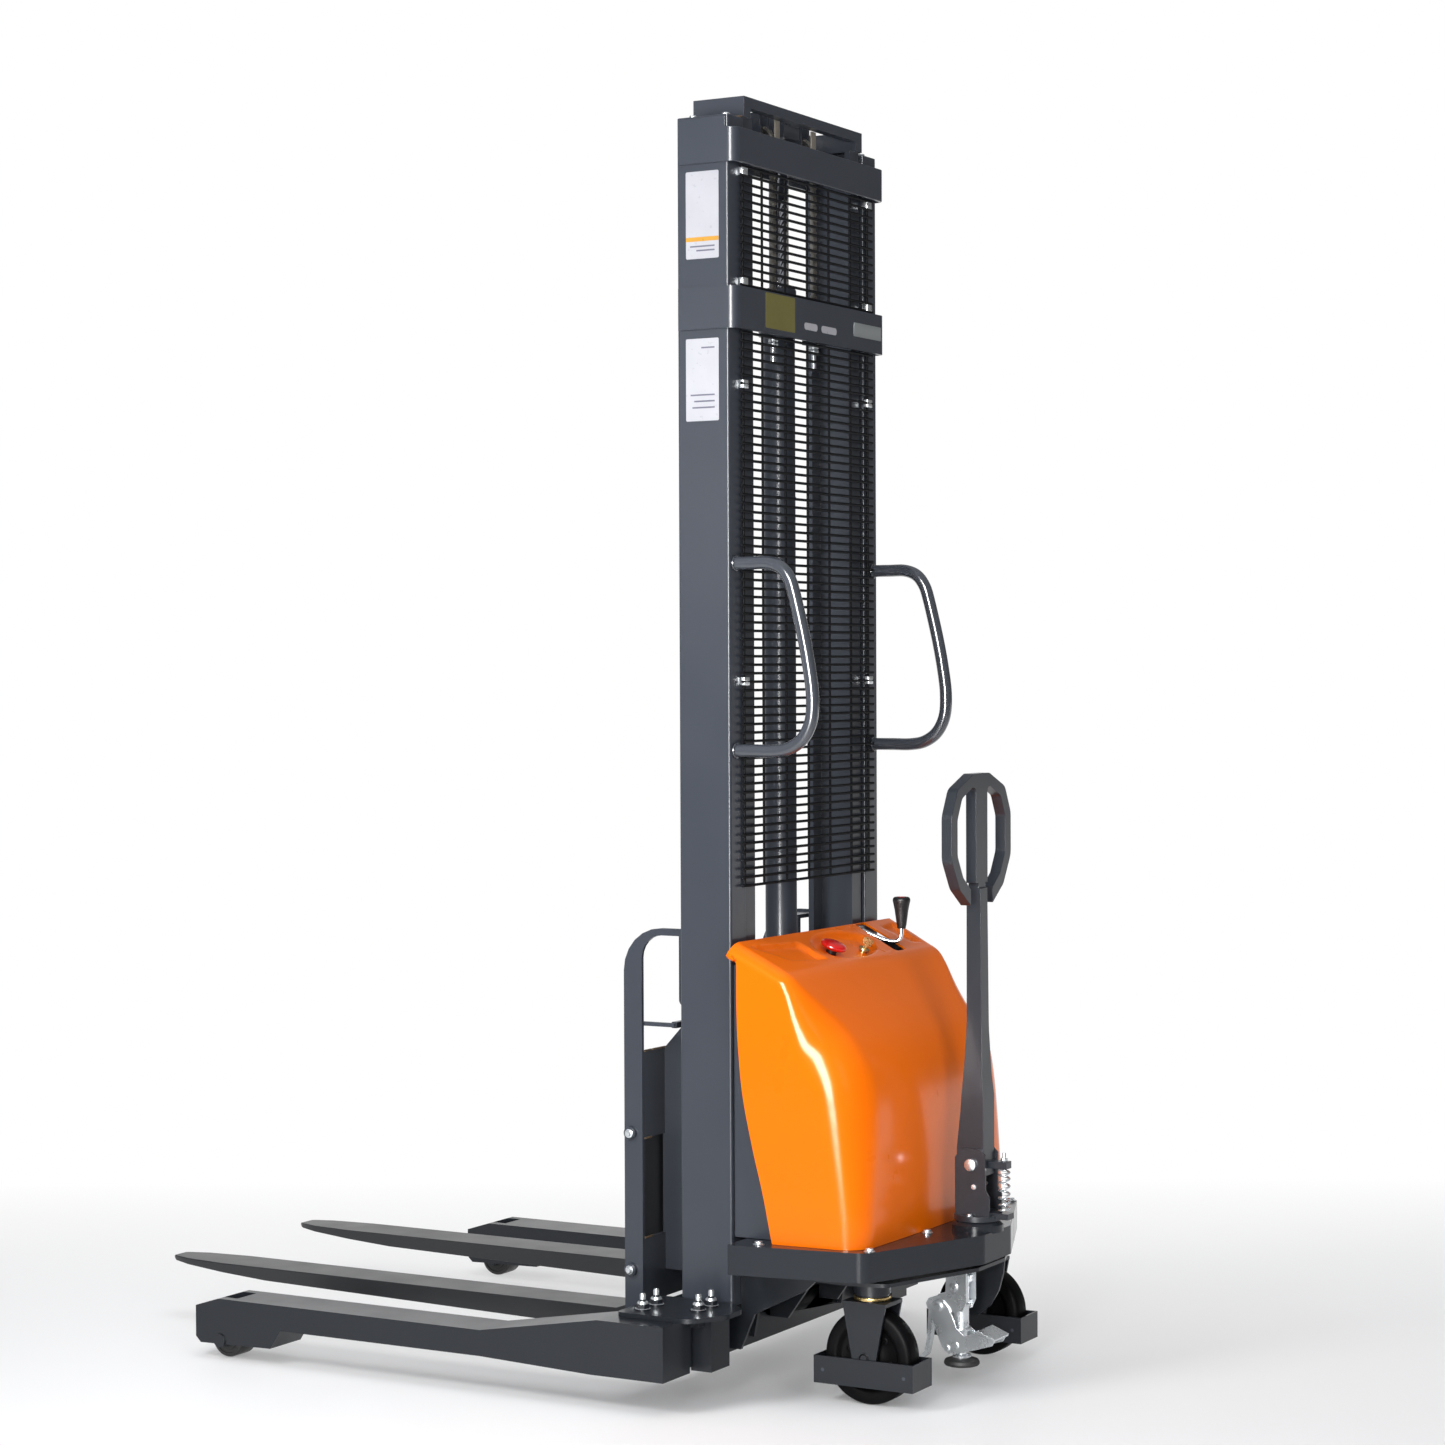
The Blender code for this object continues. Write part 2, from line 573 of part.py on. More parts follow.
def build_deck():
    outline = (
        (-0.028, -0.385, 0.006), (-0.028, 0.385, 0.006), (-0.300, 0.342, 0.035), (-0.412, 0.062, 0.030),
        (-0.412, -0.062, 0.030), (-0.300, -0.342, 0.035),
    )
    inner = (
        (-0.050, -0.3765, 0.003), (-0.050, 0.3765, 0.003), (-0.2972, 0.3375, 0.031), (-0.408, 0.061, 0.026),
        (-0.408, -0.061, 0.026), (-0.2972, -0.3375, 0.031),
    )
    plate = prism(rounded(outline, 4), "Z", *DECK_Z)
    hollow = prism(rounded(inner, 4), "Z", DECK_Z[0] - 0.02, DECK_Z[1] - 0.004)
    front = block((-0.060, -0.032), (-0.3740, 0.3740), (DECK_Z[0] - 0.02, DECK_Z[1] - 0.004))
    cuts = [hollow, front, rod("Z", (TILLER_X, 0.0), 0.0135, 0.28, 0.35, 20)]
    ring = ((0.0, 0.297), (0.050, 0.297), (0.050, 0.3105), (0.042, 0.3183), (0.0, 0.3183))
    fuse("platform_deck", [plate, lathe(ring, "Z", (TILLER_X, 0, 0), 28)], cuts, STEEL_GREY)


def build_shroud():
    outline = (
        (-0.0008, -0.303), (-0.0008, 0.303), (-0.135, 0.303), (-0.135, 0.3005), (-0.0045, 0.3005),
        (-0.0045, -0.3005), (-0.135, -0.3005), (-0.135, -0.303),
    )
    body = prism(outline, "Z", 0.3005, 0.820)
    slant = prism(((-0.20, 0.55), (-0.20, 0.90), (-0.040, 0.90), (-0.120, 0.62)), "Y", -0.4, 0.4)
    window = block((-0.02, 0.01), (-0.16, 0.16), (0.42, 0.78))
    fuse("chassis_shroud", [body], [slant, window], STEEL_GREY)


# ---------------------------------------------------------------- hood and what is under it

HOOD_PROFILE = (
    (-0.292, 0.3005), (-0.2925, 0.400), (-0.2925, 0.500), (-0.289, 0.565), (-0.278, 0.622), (-0.253, 0.672),
    (-0.219, 0.714), (-0.184, 0.751), (-0.154, 0.784), (-0.138, 0.803), (-0.125, 0.8115), (-0.115, 0.8160),
    (-0.102, 0.8230), (-0.046, 0.8528), (-0.034, 0.8592), (-0.020, 0.8660),
)
HOOD_FRONT = (
    (-0.020, 0.850), (-0.027, 0.838), (-0.0285, 0.760), (-0.031, 0.680), (-0.041, 0.580), (-0.062, 0.480),
    (-0.084, 0.390), (-0.102, 0.3005),
)
HOOD_ROUND = 0.060
DISH_X = (-0.102, -0.046)
DISH_HALF = 0.105
DISH_EDGE = 0.015
DISH_DEPTH = 0.012
HOOD_SLOPE = math.radians(-28.1)


def hood_normals():
    normals = []
    last = len(HOOD_PROFILE) - 1
    for i in range(last + 1):
        before = Vector(HOOD_PROFILE[max(i - 1, 0)])
        after = Vector(HOOD_PROFILE[min(i + 1, last)])
        along = (after - before).normalized()
        normals.append(Vector((along.y, -along.x)))
    normals[0] = Vector((1.0, 0.0))
    normals[-1] = Vector((0.0, -1.0))
    return normals


def build_hood():
    """The rear and top skin run across the width, and their ends roll into flat sides."""
    bm = bmesh.new()
    stations = [(0.0, 0.0), (DISH_HALF, 0.0), (DISH_HALF + DISH_EDGE, 0.0), (HOOD_HALF - HOOD_ROUND, 0.0)]
    for k in range(1, 6):
        angle = math.radians(18 * k)
        across = HOOD_HALF - HOOD_ROUND * (1 - math.sin(angle))
        stations.append((across, HOOD_ROUND * (1 - math.cos(angle))))
    stations = [(-y, inset) for y, inset in stations[:0:-1]] + stations
    normals = hood_normals()
    rows = []
    for y, inset in stations:
        row = []
        for spot, normal in zip(HOOD_PROFILE, normals):
            in_dish = abs(y) <= DISH_HALF and DISH_X[0] <= spot[0] <= DISH_X[1]
            x, z = Vector(spot) + normal * (inset * 0.98 + (DISH_DEPTH if in_dish else 0.0))
            row.append(bm.verts.new((x, y, z)))
        rows.append(row)
    for near, far in zip(rows, rows[1:]):
        for i in range(len(HOOD_PROFILE) - 1):
            bm.faces.new((near[i], near[i + 1], far[i + 1], far[i]))
    for row, y in ((rows[0], -HOOD_HALF), (rows[-1], HOOD_HALF)):
        edge = [bm.verts.new((x, y, min(z, row[-1].co.z - 0.004))) for x, z in HOOD_FRONT]
        bm.faces.new(row + edge)
    for vert in bm.verts:
        vert.co.y *= 1.0 + 0.16 * (vert.co.x + 0.15)
    skin = mesh_object("solid", bm)
    thick = skin.modifiers.new("wall", "SOLIDIFY")
    thick.thickness = 0.004
    thick.offset = -1.0
    thick.use_even_offset = True
    skin = baked(skin, [])
    slope = Matrix.Rotation(HOOD_SLOPE, 4, "Y")
    cuts = []
    for spot, radius in (((-0.073, 0.037, 0.828), 0.0125), ((-0.085, -0.078, 0.821), 0.0085)):
        cutter = lathe(((0.0, -0.03), (radius, -0.03), (radius, 0.03), (0.0, 0.03)), "Z", (0, 0, 0), 20)
        cutter.data.transform(Matrix.Translation(spot) @ slope)
        cuts.append(cutter)
    slot = block((-0.056, 0.056), (-0.026, 0.026), (-0.03, 0.03))
    slot.data.transform(Matrix.Translation((-0.070, -0.183, 0.8395)) @ slope)
    cuts.append(slot)
    fuse("hood_cover", [skin], cuts, ORANGE)


def build_power_unit():
    fuse("battery", [
        block((-0.280, -0.106), (-0.205, 0.205), (0.3006, 0.500)),
        block((-0.276, -0.110), (-0.201, 0.201), (0.499, 0.520)),
        rod("Z", (-0.240, 0.165), 0.009, 0.519, 0.535, 12),
        rod("Z", (-0.240, -0.165), 0.009, 0.519, 0.535, 12),
    ], material=BLACK_PLASTIC)
    fuse("pump_motor", [
        rod("Y", (-0.165, 0.595), 0.052, 0.0306, 0.195, 24),
        rod("Y", (-0.165, 0.595), 0.040, 0.190, 0.207, 20),
        block((-0.200, -0.130), (0.06, 0.16), (0.5215, 0.56)),
    ], material=BLACK_PLASTIC)
    tank = block((-0.205, -0.115), (-0.215, -0.0300), (0.5215, 0.655))
    valve = block((-0.192, -0.118), (-0.031, 0.0300), (0.548, 0.645))
    filler = rod("Z", (-0.150, -0.165), 0.018, 0.650, 0.672, 16)
    fitting = rod("X", (0.0, 0.620), 0.009, -0.125, -0.104, 12)
    fuse("oil_tank", [tank, valve, filler, fitting], material=STEEL_GREY)
    hose = (
        (0.0035, 0.1715), (-0.006, 0.1735), (-0.013, 0.181), (-0.015, 0.192), (-0.0155, 0.300),
        (-0.0155, 0.560),
        (-0.018, 0.590), (-0.028, 0.610), (-0.045, 0.6185), (-0.1035, 0.620),
    )
    fuse("hydraulic_hose", [pipe([(x, 0.0, z) for x, z in hose], 0.0065, 8)], material=BLACK_RUBBER)


def build_controls():
    slope = Matrix.Rotation(HOOD_SLOPE, 4, "Y")
    stem = (
        (0.0, -0.020), (0.0105, -0.020), (0.0105, 0.006), (0.0195, 0.009), (0.0215, 0.014), (0.0195, 0.019),
        (0.012, 0.0225), (0.0, 0.0235),
    )
    button = lathe(stem, "Z", (0, 0, 0), 28)
    button.data.transform(slope)
    spot = Vector((-0.073, 0.037, 0.828))
    button.data.transform(Matrix.Translation(spot))
    fuse("estop_button", [button], material=RED, origin=spot)
    spot = Vector((-0.085, -0.078, 0.821))
    profile = ((0.0, -0.016), (0.0075, -0.016), (0.0075, 0.001), (0.0120, 0.002), (0.0110, 0.005),
               (0.0, 0.005))
    barrel = lathe(profile, "Z", (0, 0, 0), 20)
    grip = block((-0.0110, 0.0110), (-0.0012, 0.0012), (0.003, 0.028))
    for obj in (barrel, grip):
        obj.data.transform(Matrix.Translation(spot) @ slope)
    fuse("key_switch", [barrel, grip], material=BRASS, origin=spot)
    pivot = Vector((-0.030, -0.168, 0.8570))
    link = pipe((
        (-0.030, -0.168, 0.855), (-0.060, -0.178, 0.841), (-0.098, -0.192, 0.828), (-0.106, -0.197, 0.833),
        (-0.109, -0.1998, 0.845), (-0.109, -0.2000, 0.8560),
    ), 0.0042, 10)
    eye = rod("Y", (-0.030, 0.855), 0.007, -0.176, -0.160, 12)
    fuse("lift_lever", [link, eye], material=CHROME, origin=pivot)
    knob = (
        (0.0, 0.8563), (0.0085, 0.8563), (0.0105, 0.862), (0.0140, 0.895), (0.0180, 0.913), (0.0175, 0.918),
        (0.013, 0.921), (0.0, 0.922),
    )
    fuse("lift_lever_knob", [lathe(knob, "Z", (-0.109, -0.200, 0.0), 20)], material=BLACK_PLASTIC,
         origin=(-0.109, -0.200, 0.8563))


# ---------------------------------------------------------------- tiller and steering

def build_tiller():
    x, pz = TILLER_X, TILLER_PIVOT_Z
    arm = rounded((
        (x - 0.016, -0.018, 0.012), (x + STEER_ARM + 0.010, -STEER_PIN_Y - 0.010, 0.009),
        (x + STEER_ARM + 0.010, STEER_PIN_Y + 0.010, 0.009), (x - 0.016, 0.018, 0.012),
    ), 3)
    solids = [
        rod("Z", (x, 0.0), 0.0120, 0.2300, 0.3200, 20),
        rod("Z", (x, 0.0), 0.046, 0.3187, 0.3290, 28),
        block((x - 0.0375, x + 0.0335), (-0.0305, 0.0305), (0.3260, 0.3360)),
        block((x - 0.070, x - 0.030), (-0.014, 0.014), (0.3230, 0.3345)),
        prism(arm, "Z", 0.2400, 0.2460),
    ]
    cheek = (
        (x - 0.038, 0.330), (x + 0.034, 0.330), (x + 0.034, 0.440), (x + 0.022, 0.458), (x - 0.018, 0.458),
        (x - 0.030, 0.446), (x - 0.030, 0.380), (x - 0.038, 0.366),
    )
    for side in (1, -1):
        solids.append(prism(cheek, "Y", *sorted((side * 0.0262, side * 0.0310))))
        solids.append(rod("Z", (x + STEER_ARM, side * STEER_PIN_Y), 0.0050, 0.2440, 0.2570, 12))
    cuts = [rod("Y", (x, pz), 0.0086, -0.1, 0.1, 16), rod("Y", (x - 0.006, 0.385), 0.004, -0.1, 0.1, 10)]
    fuse("tiller_yoke", solids, cuts, STEEL_GREY, origin=(x, 0.0, 0.3105))
    pin = (
        (0.0, -0.0385), (0.012, -0.0385), (0.012, -0.0315), (0.0080, -0.0315), (0.0080, 0.0315),
        (0.012, 0.0315), (0.012, 0.0385), (0.0, 0.0385),
    )
    fuse("tiller_pin", [lathe(pin, "Y", (x, 0.0, pz), 16)], material=ZINC, origin=(x, 0.0, pz))
    build_tiller_arm(x, pz)
    coil = []
    turns, per_turn, low, high = 5, 8, 0.3385, 0.4165
    for k in range(turns * per_turn + 1):
        angle = 2 * math.pi * k / per_turn
        height = low + (high - low) * k / (turns * per_turn)
        coil.append((x - 0.0560 + 0.0095 * math.cos(angle), 0.0095 * math.sin(angle), height))
    fuse("tiller_spring", [pipe(coil, 0.0028, 5)], material=ZINC, origin=(x - 0.056, 0.0, 0.3350))


def build_tiller_arm(x, pz):
    shaft = (
        (x - 0.0240, 0.405), (x + 0.0100, 0.400), (x + 0.0290, 0.412), (x + 0.0330, 0.440),
        (x + 0.0330, 0.458),
        (x + 0.0250, 0.530), (x + 0.0190, 0.610), (x + 0.0150, 0.700), (x + 0.0150, 0.960),
        (x - 0.0150, 0.960),
        (x - 0.0170, 0.700), (x - 0.0200, 0.600), (x - 0.0240, 0.560),
    )
    body = prism(shaft, "Y", -0.0250, 0.0250)
    taper_cuts = []
    for side in (1, -1):
        wedge = ((side * 0.0250, 0.560), (side * 0.0170, 0.680), (side * 0.0160, 0.970),
                 (side * 0.05, 0.970),
                 (side * 0.05, 0.560))
        taper_cuts.append(prism(wedge, "X", x - 0.05, x + 0.05))
    lug = block((x - 0.0660, x - 0.0200), (-0.012, 0.012), (0.4200, 0.4340))
    outer = rounded((
        (-0.020, 0.908, 0.006), (0.020, 0.908, 0.006), (0.100, 0.962, 0.024), (0.135, 1.018, 0.030),
        (0.135, 1.102, 0.030), (0.108, 1.153, 0.022), (0.036, 1.181, 0.015), (-0.036, 1.181, 0.015),
        (-0.108, 1.153, 0.022), (-0.135, 1.102, 0.030), (-0.135, 1.018, 0.030), (-0.100, 0.962, 0.024),
    ), 2)
    loop = prism(outer, "X", x - LOOP_HALF, x + LOOP_HALF)
    cuts = taper_cuts
    for side in (1, -1):
        hole = rounded((
            (side * 0.026, 0.962, 0.008), (side * 0.038, 0.951, 0.008), (side * 0.084, 0.984, 0.014),
            (side * 0.109, 1.026, 0.020), (side * 0.109, 1.095, 0.020), (side * 0.088, 1.135, 0.015),
            (side * 0.040, 1.155, 0.008), (side * 0.026, 1.152, 0.008),
        ), 2)
        cuts.append(prism(hole, "X", x - 0.05, x + 0.05))
    cuts.append(rod("Y", (x, pz), 0.0086, -0.1, 0.1, 16))
    fuse("tiller_arm", [body, lug, loop], cuts, STEEL_GREY, origin=(x, 0.0, pz))


def build_tie_rods():
    for side, word in ((1, "left"), (-1, "right")):
        start = Vector((TILLER_X + STEER_ARM, side * STEER_PIN_Y, 0.2515))
        end = Vector((CASTER[0] + STEER_ARM, side * (CASTER[1] + STEER_PIN_Y), 0.2515))
        solids = [pipe((start, end), 0.0035, 8)]
        cuts = []
        for spot in (start, end):
            solids.append(rod("Z", spot[:2], 0.0100, 0.2470, 0.2560, 16))
            cuts.append(rod("Z", spot[:2], 0.0056, 0.24, 0.26, 12))
        fuse(f"tie_rod_{word}", solids, cuts, ZINC, origin=start)


# ---------------------------------------------------------------- floor brake

def build_brake():
    x = BRAKE_X
    pedal_pin = (x + 0.036, 0.146)
    release_pin = (x + 0.056, 0.147)
    plate = (
        (x - 0.020, 0.2250), (x + 0.022, 0.2250), (x + 0.024, 0.174), (x + 0.060, 0.160), (x + 0.066, 0.150),
        (x + 0.062, 0.138), (x + 0.040, 0.134), (x - 0.012, 0.140), (x - 0.020, 0.158),
    )
    solids = [
        block((x - 0.042, x + 0.042), (-0.034, 0.034), (0.2237, 0.2287)),
        block((x - 0.013, x + 0.013), (-0.021, 0.021), (0.142, 0.156)),
        block((x - 0.013, x + 0.013), (-0.021, 0.021), (0.192, 0.204)),
        rod("Z", (x, 0.0), 0.0145, 0.098, 0.206, 24),
    ]
    for side in (1, -1):
        solids.append(prism(plate, "Y", *sorted((side * 0.020, side * 0.023))))
    solids.append(rod("Y", pedal_pin, 0.006, -0.0300, 0.0300, 12))
    solids.append(rod("Y", release_pin, 0.004, -0.0225, 0.0225, 12))
    cuts = [rod("Z", (x, 0.0), 0.0117, 0.05, 0.215, 20)]
    fuse("brake_bracket", solids, cuts, ZINC)
    ram = (
        (0.0, 0.0315), (0.032, 0.0315), (0.035, 0.036), (0.033, 0.043), (0.022, 0.0465), (0.018, 0.052),
        (0.0110, 0.054), (0.0110, 0.215), (0.0, 0.215),
    )
    fuse("brake_ram", [lathe(ram, "Z", (x, 0, 0), 24)], material=ZINC, origin=(x, 0.0, 0.0465))
    arm = (
        (x + 0.052, 0.128), (x + 0.050, 0.152), (x + 0.040, 0.160), (x + 0.028, 0.158), (x + 0.016, 0.146),
        (x - 0.002, 0.106), (x - 0.018, 0.094), (x - 0.048, 0.104), (x - 0.082, 0.090), (x - 0.076, 0.080),
        (x - 0.012, 0.060), (x + 0.016, 0.056), (x + 0.030, 0.068), (x + 0.044, 0.100),
    )
    solids = [prism(arm, "Y", *sorted((side * 0.0234, side * 0.0268))) for side in (1, -1)]
    tread = prism(((x - 0.083, 0.0895), (x - 0.085, 0.0945), (x - 0.050, 0.1085), (x - 0.046, 0.1040)), "Y",
                  -0.0340, 0.0340)
    cuts = [rod("Y", pedal_pin, 0.0066, -0.1, 0.1, 12)]
    fuse("brake_pedal", [tread] + solids, cuts, ZINC, origin=(pedal_pin[0], 0.0, pedal_pin[1]))
    lever = (
        (x + 0.050, 0.154), (x + 0.060, 0.154), (x + 0.067, 0.144), (x + 0.071, 0.080), (x + 0.077, 0.052),
        (x + 0.090, 0.039), (x + 0.085, 0.033), (x + 0.070, 0.046), (x + 0.063, 0.078), (x + 0.058, 0.134),
        (x + 0.050, 0.138),
    )
    cuts = [rod("Y", release_pin, 0.0046, -0.1, 0.1, 12)]
    fuse("brake_release", [prism(lever, "Y", -0.0080, 0.0080)], cuts, ZINC,
         origin=(release_pin[0], 0.0, release_pin[1]))


def build_legs():
    for side, word in ((1, "left"), (-1, "right")):
        low, high = sorted((side * LEG_Y[0], side * LEG_Y[1]))
        outline = (
            (0.021, 0.063), (0.180, 0.063), (0.4285, 0.072), (0.905, 0.072), (0.930, 0.034), (1.105, 0.030),
            (1.117, 0.042), (1.117, 0.104), (1.060, 0.122), (0.4285, 0.122), (0.165, 0.1670),
            (0.021, 0.1670),
        )
        body = prism(outline, "Y", low, high)
        x, y, z = LOAD_WHEEL
        slot = block((x - 0.052, x + 0.048), (side * y - 0.0305, side * y + 0.0305), (0.0, 0.118))
        window = block((x - 0.030, x + 0.030), (side * y - 0.0305, side * y + 0.0305), (0.1, 0.13))
        hollow = block((0.200, 0.880), (side * y - 0.043, side * y + 0.043), (0.0785, 0.1155))
        mouth = block((0.875, 1.010), (side * y - 0.020, side * y + 0.020), (0.085, 0.110))
        hub = rod("Y", (x, z), 0.013, side * y - 0.049, side * y + 0.049, 16)
        cutter = fuse_operand([slot, window, hollow, mouth])
        leg = subtract(body, cutter)
        dot = rod("Y", (x, z), 0.014, *sorted((side * (LEG_Y[1] - 0.001), side * (LEG_Y[1] + 0.003))), 12)
        fuse(f"straddle_leg_{word}", [leg, hub, dot], material=STEEL_GREY)
        build_leg_clamp(side, word)
        wheel = (
            (0.0135, -0.0265), (0.024, -0.0265), (LOAD_WHEEL_R - 0.002, -0.0255), (LOAD_WHEEL_R, -0.0235),
            (LOAD_WHEEL_R, 0.0235), (LOAD_WHEEL_R - 0.002, 0.0255), (0.024, 0.0265), (0.0135, 0.0265),
            (0.0135, -0.0265),
        )
        fuse(f"load_wheel_{word}", [lathe(wheel, "Y", (x, side * y, z), 24, True)], material=POLYURETHANE,
             origin=(x, side * y, z))


def fuse_operand(solids):
    """Cutters that overlap, united into one."""
    body = solids[0]
    for solid in solids[1:]:
        modifier = body.modifiers.new("step", "BOOLEAN")
        modifier.solver = "EXACT"
        modifier.operation = "UNION"
        modifier.object = solid
    return baked(body, solids[1:])


def subtract(body, cutter):
    modifier = body.modifiers.new("step", "BOOLEAN")
    modifier.solver = "EXACT"
    modifier.operation = "DIFFERENCE"
    modifier.object = cutter
    return baked(body, [cutter])


def baked(body, helpers):
    bpy.context.view_layer.update()
    graph = bpy.context.evaluated_depsgraph_get()
    mesh = bpy.data.meshes.new_from_object(body.evaluated_get(graph))
    for helper in [body] + list(helpers):
        bpy.data.objects.remove(helper, do_unlink=True)
    obj = bpy.data.objects.new("operand", mesh)
    bpy.context.scene.collection.objects.link(obj)
    return obj


def build_leg_clamp(side, word):
    """The plate that ties the leg to the cross-beam, with its four bolts."""
    outline = rounded(((0.150, 0.318, 0), (0.150, 0.492, 0.012), (-0.010, 0.492, 0.035),
                       (-0.050, 0.420, 0.045),
                       (-0.050, 0.360, 0.030), (-0.002, 0.318, 0.010)), 4)
    if side < 0:
        outline = mirrored(outline)
    solids = [prism(outline, "Z", 0.1673, 0.1763)]
    for x, y in ((0.115, 0.452), (0.115, 0.402), (0.018, 0.410), (0.018, 0.362)):
        solids.append(rod("Z", (x, side * y), 0.0155, 0.176, 0.179, 16))
        solids.append(hex_head((x, side * y, 0.1785), 0.0125, 0.009))
        solids.append(rod("Z", (x, side * y), 0.0060, 0.187, 0.196, 10))
    fuse(f"leg_clamp_{word}", solids, material=STEEL_GREY)


def build_casters():
    x, y0, z = CASTER
    for side, word in ((1, "left"), (-1, "right")):
        y = side * y0
        solids = [rod("Z", (x, y), 0.032, 0.1930, 0.2082, 24), rod("Z", (x, y), 0.0120, 0.200, 0.2467, 20)]
        solids.append(block((x - 0.045, x + 0.045), (y - 0.0365, y + 0.0365), (0.1885, 0.1955)))
        cheek = ((x - 0.045, 0.192), (x + 0.045, 0.192), (x + 0.024, 0.082), (x - 0.024, 0.082))
        for flip in (1, -1):
            solids.append(prism(cheek, "Y", *sorted((y + flip * 0.0315, y + flip * 0.0365))))
        ring = block((x - 0.104, x + 0.104), (y - 0.041, y + 0.041), (0.036, 0.088))
        hole = block((x - 0.101, x + 0.101), (y - 0.0360, y + 0.0360), (0.02, 0.10))
        solids.append(subtract(ring, hole))
        solids.append(rod("Y", (x, z), 0.010, y - 0.0385, y + 0.0385, 16))
        pin_y = side * (y0 + STEER_PIN_Y)
        arm = rounded((
            (x - 0.016, y - 0.016, 0.012), (x + STEER_ARM + 0.008, pin_y - 0.010, 0.008),
            (x + STEER_ARM + 0.008, pin_y + 0.010, 0.008), (x - 0.016, y + 0.016, 0.012),
        ), 3)
        solids.append(prism(arm, "Z", 0.2400, 0.2460))
        solids.append(rod("Z", (x + STEER_ARM, pin_y), 0.0050, 0.244, 0.2570, 12))
        fuse(f"caster_fork_{word}", solids, material=STEEL_GREY, origin=(x, y, 0.2))
        wheel = (
            (0.0106, -0.024), (0.022, -0.024), (0.026, -0.015), (0.060, -0.015), (0.066, -0.0225),
            (0.084, -0.0225),
            (CASTER_R, -0.016), (CASTER_R, 0.016), (0.084, 0.0225), (0.066, 0.0225),
            (0.060, 0.015), (0.026, 0.015),
            (0.022, 0.024), (0.0106, 0.024), (0.0106, -0.024),
        )
        fuse(f"caster_wheel_{word}", [lathe(wheel, "Y", (x, y, z), 28, True)], material=BLACK_RUBBER,
             origin=(x, y, z))


build_outer_mast()
build_mesh_guards()
build_grab_handles()
build_cylinder()
build_rear_chains()
build_inner_mast()
build_rollers()
build_rod_and_chains()
build_carriage()
build_forks()
build_base()
build_deck()
build_shroud()
build_legs()
build_casters()
build_hood()
build_power_unit()
build_controls()
build_tiller()
build_tie_rods()
build_brake()
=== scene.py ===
"""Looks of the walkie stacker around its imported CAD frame.

Metres, +X towards the fork tips, +Y to the left, +Z up. Depths along X are measured from the rear
face of the outer mast, as mast(x, y, z) says, and sizes come from the CAD nodes' boxes.
"""

import math
import random

import bmesh
import bpy
from mathutils import Matrix, Vector


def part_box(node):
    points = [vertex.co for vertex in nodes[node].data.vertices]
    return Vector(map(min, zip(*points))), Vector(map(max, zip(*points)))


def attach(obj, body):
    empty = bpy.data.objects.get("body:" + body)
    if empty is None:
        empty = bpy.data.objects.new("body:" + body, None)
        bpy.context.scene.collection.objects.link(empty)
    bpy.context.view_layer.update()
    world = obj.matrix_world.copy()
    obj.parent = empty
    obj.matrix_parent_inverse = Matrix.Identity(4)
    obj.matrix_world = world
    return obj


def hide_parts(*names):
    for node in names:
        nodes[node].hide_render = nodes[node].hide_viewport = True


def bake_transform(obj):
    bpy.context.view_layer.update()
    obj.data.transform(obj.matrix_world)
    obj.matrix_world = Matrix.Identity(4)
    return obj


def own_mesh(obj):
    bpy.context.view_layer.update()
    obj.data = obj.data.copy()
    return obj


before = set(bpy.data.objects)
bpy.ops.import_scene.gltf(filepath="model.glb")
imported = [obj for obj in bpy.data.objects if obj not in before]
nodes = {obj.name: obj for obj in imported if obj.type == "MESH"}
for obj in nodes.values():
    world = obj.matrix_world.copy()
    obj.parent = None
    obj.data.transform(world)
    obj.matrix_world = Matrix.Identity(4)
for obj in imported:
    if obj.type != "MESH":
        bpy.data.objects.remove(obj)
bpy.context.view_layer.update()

MAST_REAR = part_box("outer_mast_left")[0].x
MAST_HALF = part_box("outer_mast_left")[1].y
SIDES = ((1, "left"), (-1, "right"))
AHEAD = Vector((1, 0, 0))
ACROSS = Vector((0, 1, 0))
UP = Vector((0, 0, 1))


def mast(x, y, z):
    """A point whose depth is measured from the rear face of the outer mast."""
    return Vector((MAST_REAR + x, y, z))


def middle(node):
    """The centre of a CAD node's box."""
    low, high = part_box(node)
    return (low + high) / 2


# ---------------- materials

def connect(tree, node, inputs):
    """Set a node's inputs from numbers, colours or other sockets."""
    for name, value in inputs.items():
        socket = node.inputs[name]
        if isinstance(value, bpy.types.NodeSocket):
            tree.links.new(value, socket)
        elif socket.type == "RGBA":
            socket.default_value = (*value, 1)
        else:
            socket.default_value = value


def node_of(tree, kind, output, inputs, **settings):
    """A new shader node's output."""
    node = tree.nodes.new("ShaderNode" + kind)
    for name, value in settings.items():
        setattr(node, name, value)
    connect(tree, node, inputs)
    return node.outputs[output]


def noise(tree, place, scale, detail, stretch=(1, 1, 1)):
    place = node_of(tree, "Mapping", "Vector", {"Vector": place, "Scale": stretch})
    return node_of(tree, "TexNoise", "Fac", {"Vector": place, "Scale": scale, "Detail": detail})


def remap(tree, value, low, high, to_low=0, to_high=1):
    ends = {"From Min": low, "From Max": high, "To Min": to_low, "To Max": to_high}
    return node_of(tree, "MapRange", "Result", {"Value": value, **ends})


def mixed(tree, factor, first, second):
    """A colour between two, each a colour or a socket."""
    return node_of(tree, "Mix", "Result", {"Factor": factor, "A": first, "B": second}, data_type="RGBA")


def bumped(tree, height, strength, distance, **after):
    inputs = {"Height": height, "Strength": strength, "Distance": distance, **after}
    return node_of(tree, "Bump", "Normal", inputs)


def facing(tree, place, direction, low, high):
    """0 to 1 as a place lies further along a direction."""
    along = node_of(tree, "VectorMath", "Value", {0: place, 1: direction}, operation="DOT_PRODUCT")
    return remap(tree, along, low, high)


